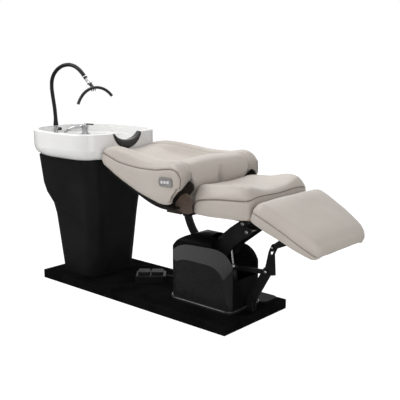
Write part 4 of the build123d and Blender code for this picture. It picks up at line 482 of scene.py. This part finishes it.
def value_at(stations, x):
    """The row of a table of stations at x, by a soft curve between them."""
    x = min(max(x, stations[0][0]), stations[-1][0])
    index = 0
    while index < len(stations) - 2 and x > stations[index + 1][0]:
        index += 1
    first, second = stations[index], stations[index + 1]
    before = stations[max(index - 1, 0)]
    after = stations[min(index + 2, len(stations) - 1)]
    span = second[0] - first[0]
    t = (x - first[0]) / span
    row = []
    for a, b, c, d in zip(before, first, second, after):
        slope_b = (c - a) / (second[0] - before[0]) * span
        slope_c = (d - b) / (after[0] - first[0]) * span
        row.append(
            (2 * t ** 3 - 3 * t ** 2 + 1) * b
            + (t ** 3 - 2 * t ** 2 + t) * slope_b
            + (3 * t ** 2 - 2 * t ** 3) * c
            + (t ** 3 - t ** 2) * slope_c
        )
    return row


def end_inset(x, low, high, low_round, high_round):
    """How far a section near a cushion's rounded end is drawn in."""
    inset = 0.0
    for distance, reach in ((x - low, low_round), (high - x, high_round)):
        if distance < reach:
            inset = max(inset, reach - math.sqrt(max(reach ** 2 - (reach - distance) ** 2, 0.0)))
    return inset


def stations_between(low, high, low_round, high_round, count):
    """Places along a cushion, close together where its ends are rounded."""
    turns = [math.pi / 2 * step / (end_rows - 1) for step in range(end_rows)]
    spans = count - 2 * end_rows
    straight = high - high_round - low - low_round
    places = [low + low_round * (1 - math.cos(turn)) for turn in turns]
    places += [low + low_round + straight * step / spans for step in range(1, spans)]
    places += [high - high_round * math.cos(turn) for turn in turns]
    return places


def shrink(ring, inset):
    """A section drawn in all round towards its middle."""
    middle = [sum(values) / len(ring) for values in zip(*ring)]
    reach = [max(abs(point[i] - middle[i]) for point in ring) for i in range(2)]
    scale = [max(1 - inset / reach[i], 0.05) for i in range(2)]
    return [tuple(middle[i] + (point[i] - middle[i]) * scale[i] for i in range(2)) for point in ring]


def padded_form(name, rings, body, node, skin=hide):
    """A closed cushion skinned over its sections, which stands for a plain solid if one is named."""
    count = len(rings[0])
    points = [place for ring in rings for place in ring]
    faces = []
    for row in range(len(rings) - 1):
        for index in range(count):
            here = row * count + index
            side = row * count + (index + 1) % count
            faces.append((here, side, side + count, here + count))
    faces.append(tuple(range(count - 1, -1, -1)))
    faces.append(tuple(range((len(rings) - 1) * count, len(rings) * count)))
    data = bpy.data.meshes.new(name)
    data.from_pydata(points, [], faces)
    data.validate()
    data.update()
    made = add_object(name, data)
    bpy.context.view_layer.objects.active = made
    bpy.ops.object.select_all(action="DESELECT")
    made.select_set(True)
    bpy.ops.object.mode_set(mode="EDIT")
    bpy.ops.mesh.select_all(action="SELECT")
    bpy.ops.mesh.normals_make_consistent(inside=False)
    bpy.ops.object.mode_set(mode="OBJECT")
    data.shade_smooth()
    data.attributes.new("crease_shade", "FLOAT", "POINT")
    made.data.materials.append(skin)
    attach(made, body)
    if node:
        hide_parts(node)
    return made


def crumple(made, soft, fine):
    """Slow rises and falls and some small ones, as in hide drawn over foam."""
    slow_beat, quick_beat, quick_shift = 11.0, 46.0, Vector((7.0, 3.0, 1.0))
    normals = [vertex.normal.copy() for vertex in made.data.vertices]
    for vertex, normal in zip(made.data.vertices, normals):
        slow = noise.noise(vertex.co * slow_beat)
        quick = noise.noise(vertex.co * quick_beat + quick_shift)
        vertex.co += normal * (soft * slow + fine * quick)
    made.data.update()


def sew_seam(name, cushion, route, direction, body, radius=0.0021, groove=0.0035, reach=0.012):
    """Piping on a route thrown onto the cushion from outside, with the hide drawn in and gathered beside it, and
    painted shade darkening the hide in the groove.
    """
    gather_beat, gather_tightness = 0.42, 30.0
    tree = BVHTree.FromPolygons(
        [vertex.co.copy() for vertex in cushion.data.vertices],
        [polygon.vertices[:] for polygon in cushion.data.polygons],
    )
    landed = []
    for place in smooth_through(route, seam_points):
        start = Vector(place) - Vector(direction) * seam_throw
        hit = tree.ray_cast(start, Vector(direction))[0]
        if hit is None:
            hit = tree.find_nearest(Vector(place))[0]
        landed.append(hit)
    spots = kdtree.KDTree(len(landed))
    for index, hit in enumerate(landed):
        spots.insert(hit, index)
    spots.balance()
    crease_shade = cushion.data.attributes["crease_shade"].data
    for vertex in cushion.data.vertices:
        _, index, near = spots.find(vertex.co)
        if near < reach:
            pull = (1 - near / reach) ** 2
            vertex.co -= vertex.normal * groove * pull
            # Painted shade: the groove beside the piping is marked for darkening in the hide's colour.
            crease_shade[vertex.index].value = max(crease_shade[vertex.index].value, seam_shade_strength * pull)
        elif near < gather_reach * reach:
            fade = 1 - (near - reach) / ((gather_reach - 1) * reach)
            ripple = noise.noise(Vector((index * gather_beat, near * gather_tightness, 0.0)))
            vertex.co += vertex.normal * gather * fade * ripple
    cushion.data.update()
    piping = add_curve(name, [tuple(hit) for hit in landed[::2]], radius)
    piping.data.materials.append(cord_hide)
    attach(piping, body)


seat_ends = (0.4435, 0.7685)
seat_rounds = (0.016, 0.018)
seat_stations = (
    # place, half width, seam height, lobe height, dish, low edge
    (0.4435, 0.214, 0.563, 0.640, 0.002, 0.5205),
    (0.470, 0.221, 0.583, 0.653, 0.006, 0.521),
    (0.530, 0.229, 0.599, 0.660, 0.013, 0.523),
    (0.600, 0.233, 0.610, 0.666, 0.020, 0.526),
    (0.690, 0.236, 0.618, 0.681, 0.030, 0.532),
    (0.742, 0.232, 0.622, 0.671, 0.022, 0.537),
    (0.7685, 0.224, 0.623, 0.640, 0.006, 0.540),
)
seat_edge = 0.016
seat_side_seam = (
    (0.447, 0.556),
    (0.456, 0.569),
    (0.4825, 0.589),
    (0.54, 0.6015),
    (0.608, 0.611),
    (0.69, 0.618),
    (0.757, 0.622),
)
seat_front_seam = ((-0.222, 0.623), (-0.15, 0.633), (0, 0.629), (0.15, 0.633), (0.222, 0.623))
seat_beyond = (0.80, 0.24)


def seat_ring(x):
    _, half, seam, top, dish, low = value_at(seat_stations, x)
    return mirrored_ring([
        (0.0, low),
        (half * 0.6, low),
        (half - seat_edge, low),
        (half - 0.003, low + 0.012),
        (half, (low + seam) / 2),
        (half - 0.002, seam),
        (half - seat_edge, seam + (top - seam) * 0.60),
        (half * 0.80, top),
        (half * 0.60, top - dish * 0.30),
        (half * 0.34, top - dish * 0.85),
        (0.0, top - dish),
    ])


rings = []
for x in stations_between(*seat_ends, *seat_rounds, stations_along):
    inset = end_inset(x, *seat_ends, *seat_rounds)
    rings.append([(x, y, z) for y, z in shrink(seat_ring(x), inset)])
seat_pad = padded_form("seat_pad", rings, "seat", "seat_cushion")
crumple(seat_pad, soft=0.0022, fine=0.0004)
for side in (-1, 1):
    route = [(x, side * seat_beyond[1], z) for x, z in seat_side_seam]
    sew_seam(f"seat_seam_{side + 1}", seat_pad, route, (0, -side, 0), "seat")
route = [(seat_beyond[0], y, z) for y, z in seat_front_seam]
sew_seam("seat_front_seam", seat_pad, route, (-1, 0, 0), "seat")


# Gusset between seat and back, a soft flap of hide stitched under both cushions. Its dark brown is a darker beige
# hide with the shade of the gap under the cushions painted in. A smaller flap of the same hide hangs outside the
# hinge on each side.
gusset_x = (0.393, 0.455)
gusset_z = (0.5190, 0.5405)
gusset_ends = (-0.196, 0.196)
gusset_rounds = (0.010, 0.010)
gusset_sag = 0.0016
flap_ends = (0.357, 0.462)
flap_rounds = (0.004, 0.004)
flap_out = 0.2356
flap_half_thickness = 0.0009
flap_ripple = 0.0012
flap_stations = (
    # place, low edge, high edge
    (0.357, 0.545, 0.562),
    (0.375, 0.532, 0.584),
    (0.395, 0.525, 0.604),
    (0.420, 0.522, 0.616),
    (0.442, 0.524, 0.614),
    (0.462, 0.532, 0.594),
)


def soft_oval(first, second, powers, count):
    """A closed outline over two spans, an oval for powers of 1 and a rounded box for smaller ones."""
    outline = []
    for step in range(count):
        turn = 2 * math.pi * step / count
        place = []
        for (low, high), power, swing in zip((first, second), powers, (math.cos(turn), math.sin(turn))):
            place.append((low + high) / 2 + (high - low) / 2 * math.copysign(abs(swing) ** power, swing))
        outline.append(tuple(place))
    return outline


# Painted shade: this dark brown is the flaps' darker beige hide together with the shade of the gaps under the
# cushions where they lie.
shaded_brown_hide = plain_finish(
    "shaded_brown_hide",
    (0.085, 0.060, 0.045),
    (0.135, 0.098, 0.076),
    roughness=0.5,
    cloud=16.0,
    grain=800.0,
    depth=0.0006,
    shine=0.3,
)
rings = []
for y in stations_between(*gusset_ends, *gusset_rounds, 60):
    sag = gusset_sag * noise.noise(Vector((y * 24.0, 0.0, 0.0)))
    outline = soft_oval(gusset_x, (gusset_z[0] - sag, gusset_z[1] + sag), (0.55, 0.75), 40)
    inset = end_inset(y, *gusset_ends, *gusset_rounds)
    rings.append([(x, y, z) for x, z in shrink(outline, inset)])
padded_form("gusset_flap", rings, "seat", "seat_gusset", skin=shaded_brown_hide)
for side, name in ((-1, "near_side_flap"), (1, "far_side_flap")):
    rings = []
    for x in stations_between(*flap_ends, *flap_rounds, 44):
        _, low, high = value_at(flap_stations, x)
        ring = []
        thick = (flap_out - flap_half_thickness, flap_out + flap_half_thickness)
        for y, z in soft_oval(thick, (low, high), (1.0, 0.5), 24):
            tall = (2 * z - low - high) / (high - low)
            y += flap_ripple * noise.noise(Vector((x * 40.0, tall, 2.0)))
            ring.append((x, side * y, z))
        rings.append(ring)
    padded_form(name, rings, "seat", None, skin=shaded_brown_hide)


# Neck rest, a soft moulded gel saddle in black, pressed over the cut in the basin's lip.
# Its top is hollowed for the neck and its two horns reach up to the rim.
neck_x = (-0.2375, -0.1975)
neck_half = 0.0955
neck_round = 0.006
neck_under = (0.8436, 0.0980)
neck_over = (0.9474, 0.1554)
neck_horn = 0.007
gel = plain_finish(
    "gel",
    (0.010, 0.010, 0.010),
    (0.022, 0.022, 0.022),
    roughness=0.26,
    cloud=14.0,
    grain=600.0,
    depth=0.0003,
    shine=0.4,
)
rings = []
for y in stations_between(-neck_half, neck_half, neck_round, neck_round, 84):
    low = neck_under[0] - math.sqrt(neck_under[1] ** 2 - y * y)
    top = neck_over[0] - math.sqrt(neck_over[1] ** 2 - y * y) + neck_horn * (abs(y) / neck_half) ** 4
    inset = end_inset(y, -neck_half, neck_half, neck_round, neck_round)
    rings.append([(x, y, z) for x, z in shrink(soft_oval(neck_x, (low, top), (0.5, 0.62), 48), inset)])
padded_form("neck_saddle", rings, "base", "neck_rest", skin=gel)


# Legrest cushion: foam on its own board, a large flat top panel that rolls over the edges.
# A plain seam joins the top to the side panel half way down, and nears the lower edge at the tip.
leg_hinge = (0.772, 0.545)
leg_tilt = math.radians(23)
leg_ends = (-0.005, 0.340)
leg_rounds = (0.020, 0.030)
leg_stations = (
    # place along, half width, low, top
    (-0.005, 0.226, 0.009, 0.080),
    (0.040, 0.236, 0.009, 0.102),
    (0.160, 0.228, 0.009, 0.095),
    (0.285, 0.210, 0.008, 0.080),
    (0.340, 0.194, 0.006, 0.054),
)
leg_seam = ((0.0, 0.038), (0.05, 0.046), (0.16, 0.041), (0.285, 0.026), (0.330, 0.018))
leg_beyond = 0.26


def leg_place(along, y, above):
    """A place given by its distance along the legrest from the hinge and its height above the board."""
    x = leg_hinge[0] + along * math.cos(leg_tilt) + above * math.sin(leg_tilt)
    return (x, y, leg_hinge[1] - along * math.sin(leg_tilt) + above * math.cos(leg_tilt))


def leg_ring(along):
    _, half, low, top = value_at(leg_stations, along)
    thick = top - low
    return mirrored_ring([
        (0.0, low),
        (half * 0.45, low),
        (min(half * 0.82, half - 0.024), low),
        (half - 0.016, low - 0.009),
        (half - 0.005, low - 0.008),
        (half - 0.0005, low + thick * 0.18),
        (half + 0.001, low + thick * 0.50),
        (half - 0.005, low + thick * 0.76),
        (half - 0.021, low + thick * 0.95),
        (min(half * 0.80, half - 0.044), top),
        (half * 0.62, top + 0.001),
        (half * 0.32, top + 0.002),
        (0.0, top + 0.002),
    ])


rings = []
for along in stations_between(*leg_ends, *leg_rounds, stations_along):
    inset = end_inset(along, *leg_ends, *leg_rounds)
    rings.append([leg_place(along, y, above) for y, above in shrink(leg_ring(along), inset)])
leg_pad = padded_form("legrest_pad", rings, "legrest", "legrest_cushion")
crumple(leg_pad, soft=0.0022, fine=0.0004)
for side in (-1, 1):
    name = f"legrest_seam_{side + 1}"
    route = [leg_place(along, side * leg_beyond, above) for along, above in leg_seam]
    sew_seam(name, leg_pad, route, (0, -side, 0), "legrest", radius=0.0009, groove=0.0022, reach=0.008)


# Backrest cushion: a long dished pad between the two wings, in the same hide over moulded foam.
# It lies in the back shell and its sides are stitched to the wings.
back_ends = (-0.196, 0.302)
back_rounds = (0.020, 0.012)
back_stations = (
    # place, middle height, edge height
    (-0.196, 0.747, 0.756),
    (-0.092, 0.732, 0.765),
    (0.008, 0.703, 0.759),
    (0.107, 0.685, 0.747),
    (0.207, 0.686, 0.738),
    (0.302, 0.706, 0.740),
)
shell_places = ((-0.196, 0.683), (0.008, 0.611), (0.380, 0.549))
pad_gap = 0.0006
wing_root_x = -0.192
outer_root, outer_growth = 0.190, 0.178
inner_root, inner_growth = 0.139, 0.110


def under_height(x):
    """The height of the pads' underside, on a curve through three places of the back shell."""
    head, neck, front = shell_places
    total = 0.0
    for here, second, third in ((head, neck, front), (neck, head, front), (front, head, neck)):
        total += here[1] * (x - second[0]) * (x - third[0]) / ((here[0] - second[0]) * (here[0] - third[0]))
    return total


def wing_outer(x):
    return outer_root + outer_growth * (x - wing_root_x)


def wing_inner(x):
    return inner_root + inner_growth * (x - wing_root_x)


def back_ring(x):
    _, middle, edge = value_at(back_stations, x)
    half = wing_inner(x) - pad_gap
    low = under_height(x) + pad_gap
    rise = edge - middle
    return mirrored_ring([
        (0.0, low),
        (half * 0.6, low),
        (half - 0.004, low + 0.001),
        (half, low + 0.014),
        (half, (low + edge) / 2),
        (half - 0.0005, edge - 0.009),
        (half - 0.005, edge - 0.0015),
        (half - 0.020, middle + rise * 0.76),
        (half * 0.70, middle + rise * 0.42),
        (half * 0.36, middle + rise * 0.10),
        (0.0, middle),
    ])


rings = []
for x in stations_between(*back_ends, *back_rounds, 64):
    inset = end_inset(x, *back_ends, *back_rounds)
    rings.append([(x, y, z) for y, z in shrink(back_ring(x), inset)])
back_pad = padded_form("back_pad", rings, "backrest", "back_cushion")
crumple(back_pad, soft=0.0016, fine=0.0003)


# Lumbar roll: a thick foam roll across the seat end of the back, held between the wings.
# A stitched pleat draws its front in at the middle, and its lower corners clear the hinge covers.
roll_stations = (
    # place across, drop
    (-0.244, 0.036),
    (-0.206, 0.013),
    (-0.140, 0.004),
    (0.0, 0.0),
    (0.140, 0.004),
    (0.206, 0.013),
    (0.244, 0.036),
)
roll_middle_x = 0.372
roll_half = wing_inner(roll_middle_x)
roll_round = 0.022
roll_end_share = 0.10
pleat_x = 0.395
pleat_top = 0.725
pleat_fade = 0.07
pleat_run = 0.03
pleat_width = 0.018
pleat_depth = 0.032
recess_low = (0.3484, 0.590)
recess_high = (0.423, 0.666)
recess_slope = (recess_high[0] - recess_low[0]) / (recess_high[1] - recess_low[1])
recess_over = 0.03
corner_slope = 1.3
corner_softness = 0.006
corner_deep_x = 0.36


def clamp(share):
    return min(max(share, 0.0), 1.0)


def roll_outline(drop):
    return [
        (0.303, under_height(0.303) + 0.004),
        (0.299, 0.640),
        (0.300, 0.700 - drop * 0.5),
        (0.322, 0.742 - drop * 0.8),
        (0.366, 0.764 - drop),
        (0.408, 0.753 - drop),
        (0.433, 0.722 - drop),
        (0.441, 0.685 - drop * 0.5),
        (0.4405, 0.650),
        (0.431, 0.600),
        (0.415, under_height(0.415) + 0.006),
        (0.360, under_height(0.360) + 0.002),
    ]


def roll_front(x, y, z):
    """A place's x after the pleat and the lower corners are drawn in."""
    if x > pleat_x:
        pinch = math.exp(-((y / pleat_width) ** 2)) * clamp((pleat_top - z) / pleat_fade)
        x -= pleat_depth * pinch * min((x - pleat_x) / pleat_run, 1.0)
    if z >= recess_high[1] + recess_over:
        return x
    limit = recess_low[0] + (max(z, recess_low[1]) - recess_low[1]) * recess_slope
    limit += max(roll_half - abs(y), 0.0) * corner_slope
    if limit < corner_deep_x:
        return min(x, limit)
    return x - corner_softness * math.log(1.0 + math.exp((x - limit) / corner_softness))


rings = []
for y in stations_between(-roll_half, roll_half, roll_round, roll_round, 96):
    ring = smooth_through(roll_outline(value_at(roll_stations, y)[1]), ring_points, closed=True)
    inset = end_inset(y, -roll_half, roll_half, roll_round, roll_round) * roll_end_share
    row = []
    for x, z in shrink(ring, inset):
        x = roll_front(x, y, z)
        row.append((x, y * wing_inner(x) / roll_half, z))
    rings.append(row)
roll_pad = padded_form("roll_pad", rings, "backrest", "lumbar_roll")
crumple(roll_pad, soft=0.0022, fine=0.0004)
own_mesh(roll_pad)


# Wings: the padded sides that serve as armrests, a flat outer panel and a broad rounded band.
# Piping follows the panel's top edge and turns down round the front end.
# The near wing is sunk behind the control panel, so that its buttons have room to move.
wing_stations = (
    # place, low, seam height, ridge height
    (-0.194, 0.682, 0.735, 0.764),
    (-0.092, 0.644, 0.718, 0.781),
    (0.008, 0.611, 0.707, 0.776),
    (0.107, 0.587, 0.702, 0.765),
    (0.207, 0.568, 0.705, 0.755),
    (0.307, 0.556, 0.716, 0.754),
    (0.382, 0.570, 0.724, 0.764),
    (0.436, 0.630, 0.704, 0.738),
)
wing_seam = (
    (-0.190, 0.741),
    (-0.120, 0.725),
    (-0.038, 0.7105),
    (0.111, 0.703),
    (0.251, 0.709),
    (0.340, 0.7225),
    (0.385, 0.7265),
    (0.418, 0.719),
    (0.433, 0.700),
    (0.436, 0.672),
    (0.430, 0.636),
    (0.413, 0.602),
    (0.365, 0.560),
)
wing_beyond = 0.36
wing_ends = (-0.206, 0.438)
wing_rounds = (0.024, 0.034)
wing_end_share = 0.6
recess_inner = 0.2343
recess_run = 0.068
recess_shift = (0.074, 0.016)
front_softness = 0.004
panel_place = (0.348, 0.665)
pocket_half = (0.039, 0.011)
pocket_edge = 0.008
pocket_depth = 0.0075
pocket_inner = 0.04
wing_rows = {}


def wing_row(x):
    """The wing's section at x as distances from the middle and heights, to the nearest millimetre."""
    key = round(x * 1000)
    if key not in wing_rows:
        _, low, seam, ridge = value_at(wing_stations, x)
        low = max(low, under_height(x) + pad_gap)
        outer, inner = wing_outer(x), wing_inner(x)
        width = outer - inner
        outline = [
            (inner, low + 0.003),
            (inner + width * 0.5, low),
            (outer - 0.010, low + 0.001),
            (outer - 0.001, low + 0.018),
            (outer, (low + seam) / 2),
            (outer - 0.001, seam - 0.012),
            (outer - 0.004, seam + 0.004),
            (outer - width * 0.22, seam + (ridge - seam) * 0.74),
            (inner + width * 0.44, ridge),
            (inner + width * 0.18, ridge - 0.006),
            (inner + 0.002, ridge - 0.017),
            (inner, ridge - 0.034),
            (inner, (low + ridge) / 2),
        ]
        wing_rows[key] = smooth_through(outline, ring_points, closed=True)
    return wing_rows[key]


def pull_in(ring, index, inset):
    """One point of a wing section after the section is drawn in from the outer side, top and bottom."""
    inner, wide = min(point[0] for point in ring), max(point[0] for point in ring)
    low, high = min(point[1] for point in ring), max(point[1] for point in ring)
    y, z = ring[index]
    y = inner + (y - inner) * max(1 - inset / (wide - inner), 0.1)
    z = (low + high) / 2 + (z - (low + high) / 2) * max(1 - 2 * inset / (high - low), 0.1)
    return y, z


def wing_front(y, z):
    """How far forward the wing goes here: its round end, or the recess for the hinge cover lower down."""
    slant = clamp((y - recess_inner) / recess_run)
    rear = recess_low[0] + recess_shift[0] * slant
    if z > recess_high[1] + recess_shift[1] * slant:
        return wing_ends[1]
    edge = max(rear + (z - recess_low[1] - recess_shift[1] * slant) * recess_slope, rear)
    return wing_ends[1] - front_softness * math.log(math.exp((wing_ends[1] - edge) / front_softness) + 1.0)


def wing_place(place, index, inset):
    """Where a point of the section at this place lands once the section leans to the wing's front."""
    share = (place - wing_ends[0]) / (wing_ends[1] - wing_ends[0])
    x = place
    for _ in range(2):
        y, z = pull_in(wing_row(x), index, inset)
        x = wing_ends[0] + (wing_front(y, z) - wing_ends[0]) * share
    return x, y, z


def panel_pocket(x, z):
    """How deep the near wing is sunk here behind the control panel."""
    beside = max(abs(x - panel_place[0]) - pocket_half[0], abs(z - panel_place[1]) - pocket_half[1])
    return pocket_depth * clamp(1.0 - beside / pocket_edge)


for side, name, node in ((-1, "near_wing_pad", "near_wing"), (1, "far_wing_pad", "far_wing")):
    rings = []
    for place in stations_between(*wing_ends, *wing_rounds, stations_along):
        inset = end_inset(place, *wing_ends, *wing_rounds) * wing_end_share
        row = []
        for index in range(ring_points):
            x, y, z = wing_place(place, index, inset)
            if side < 0 and y > wing_inner(x) + pocket_inner:
                y -= panel_pocket(x, z)
            row.append((x, side * y, z))
        rings.append(row)
    wing_pad = padded_form(name, rings, "backrest", node)
    crumple(wing_pad, soft=0.0018, fine=0.0003)
    route = [(x, side * wing_beyond, z) for x, z in wing_seam]
    sew_seam(f"{name}_seam", wing_pad, route, (0, -side, 0), "backrest", radius=0.0018)


# Back shell, a vacuum formed black pan under the backrest that carries its pads.
# The moulded hinge covers are screwed to it at the seat end, one on each side.
shell_skin = plain_finish(
    "shell_skin", (0.006, 0.0055, 0.005), (0.012, 0.011, 0.010), roughness=0.42, cloud=10.0, shine=0.15
)
hinge_skin = plain_finish(
    "hinge_skin", (0.010, 0.008, 0.006), (0.018, 0.014, 0.011), roughness=0.32, cloud=12.0, shine=0.25
)
coat(shell_skin, "back_shell")
coat(hinge_skin, "hinge_covers")


# Control panel, a grey moulded bezel let into the near wing.
# Three light plastic push buttons sit in its pockets, each on a spring.
bezel_plastic = plain_finish(
    "bezel_plastic", (0.21, 0.205, 0.20), (0.27, 0.265, 0.26), roughness=0.4, cloud=30.0
)
button_plastic = plain_finish(
    "button_plastic", (0.62, 0.62, 0.62), (0.72, 0.72, 0.72), roughness=0.35, cloud=60.0
)
coat(bezel_plastic, "control_bezel")
coat(button_plastic, "rear_button", "middle_button", "front_button")


# Legrest bracket, a folded steel channel under the legrest's board.
# It is screwed to the board and painted like the lift arms.
coat(arm_paint, "legrest_bracket")


# Foot switch, a flat black plastic case that stands loose on the base plate.
# Its two pedals are topped with rubber and spring back when let go.
case_plastic = plain_finish(
    "case_plastic", (0.006, 0.006, 0.006), (0.011, 0.011, 0.011), roughness=0.40, cloud=18.0, shine=0.12
)
pedal_rubber = plain_finish(
    "pedal_rubber",
    (0.009, 0.009, 0.009),
    (0.016, 0.016, 0.016),
    roughness=0.5,
    cloud=30.0,
    grain=500.0,
    depth=0.0008,
    shine=0.12,
)
coat(case_plastic, "foot_switch_case")
coat(pedal_rubber, "up_pedal", "down_pedal")


# Floor, a pale matt sheet that keeps the soft shadow of the bed.
# The world round it is white to the camera and softer to the object.
floor_tone = 0.90
floor_reach = 9.0
floor_height = -0.0004
floor_glow = 1.22
floor_glow_share = 0.80
floor_mirrored = 0.10
world_tone = (1.0, 0.985, 0.965, 1)
world_strength = 0.42

floor_data = bpy.data.meshes.new("floor")
floor_corners = [(x * floor_reach, y * floor_reach, floor_height) for x, y in ((-1, -1), (1, -1), (1, 1), (-1, 1))]
floor_data.from_pydata(floor_corners, [], [(0, 1, 2, 3)])
floor = add_object("floor", floor_data)
floor_paint, tree, shader = new_material("floor_paint", roughness=0.85)
set_inputs(shader, Base_Color=(floor_tone, floor_tone, floor_tone, 1), Specular_IOR_Level=0.1)
glow = add_node(tree, "Emission", Color=(1, 1, 1, 1), Strength=floor_glow)
dim = add_node(tree, "Emission", Color=(floor_mirrored, floor_mirrored, floor_mirrored, 1))
path = add_node(tree, "LightPath")
share = add_node(tree, "Math")
share.operation = "MULTIPLY"
share.inputs[1].default_value = floor_glow_share
blend = add_node(tree, "MixShader")
mirrored = add_node(tree, "MixShader")
join(tree, path, "Is Camera Ray", share, 0)
join(tree, share, "Value", blend, "Fac")
join(tree, shader, "BSDF", blend, 1)
join(tree, glow, "Emission", blend, 2)
join(tree, path, "Is Glossy Ray", mirrored, "Fac")
join(tree, blend, "Shader", mirrored, 1)
join(tree, dim, "Emission", mirrored, 2)
join(tree, mirrored, "Shader", tree.nodes["Material Output"], "Surface")
floor_data.materials.append(floor_paint)

world = bpy.data.worlds.new("surround")
bpy.context.scene.world = world
world.use_nodes = True
tree = world.node_tree
soft = tree.nodes["Background"]
set_inputs(soft, Color=world_tone, Strength=world_strength)
white = add_node(tree, "Background", Color=(1, 1, 1, 1), Strength=1.0)
path = add_node(tree, "LightPath")
seen = add_node(tree, "Math")
seen.operation = "MAXIMUM"
more = add_node(tree, "Math")
more.operation = "MAXIMUM"
blend = add_node(tree, "MixShader")
join(tree, path, "Is Camera Ray", seen, 0)
join(tree, path, "Is Transmission Ray", seen, 1)
join(tree, seen, "Value", more, 0)
join(tree, path, "Is Glossy Ray", more, 1)
join(tree, more, "Value", blend, "Fac")
join(tree, soft, "Background", blend, 1)
join(tree, white, "Background", blend, 2)
join(tree, blend, "Shader", tree.nodes["World Output"], "Surface")


# Studio light, three square soft boxes off the picture.
# A broad one over the head end, a fill low beside the camera and a high one behind.
for name, place, target, size, power in (
    ("key_light", (-2.2, -1.8, 3.0), (0.0, 0.0, 0.5), 2.2, 80.0),
    ("fill_light", (3.0, -2.0, 1.3), (0.1, 0.0, 0.45), 2.2, 34.0),
    ("top_light", (-0.6, 1.3, 3.2), (0.1, 0.0, 0.5), 2.4, 46.0),
):
    lamp = bpy.data.lights.new(name, "AREA")
    lamp.shape = "SQUARE"
    lamp.size = size
    lamp.energy = power
    point_at(add_object(name, lamp), place, target)

bpy.context.scene.view_settings.view_transform = "Standard"
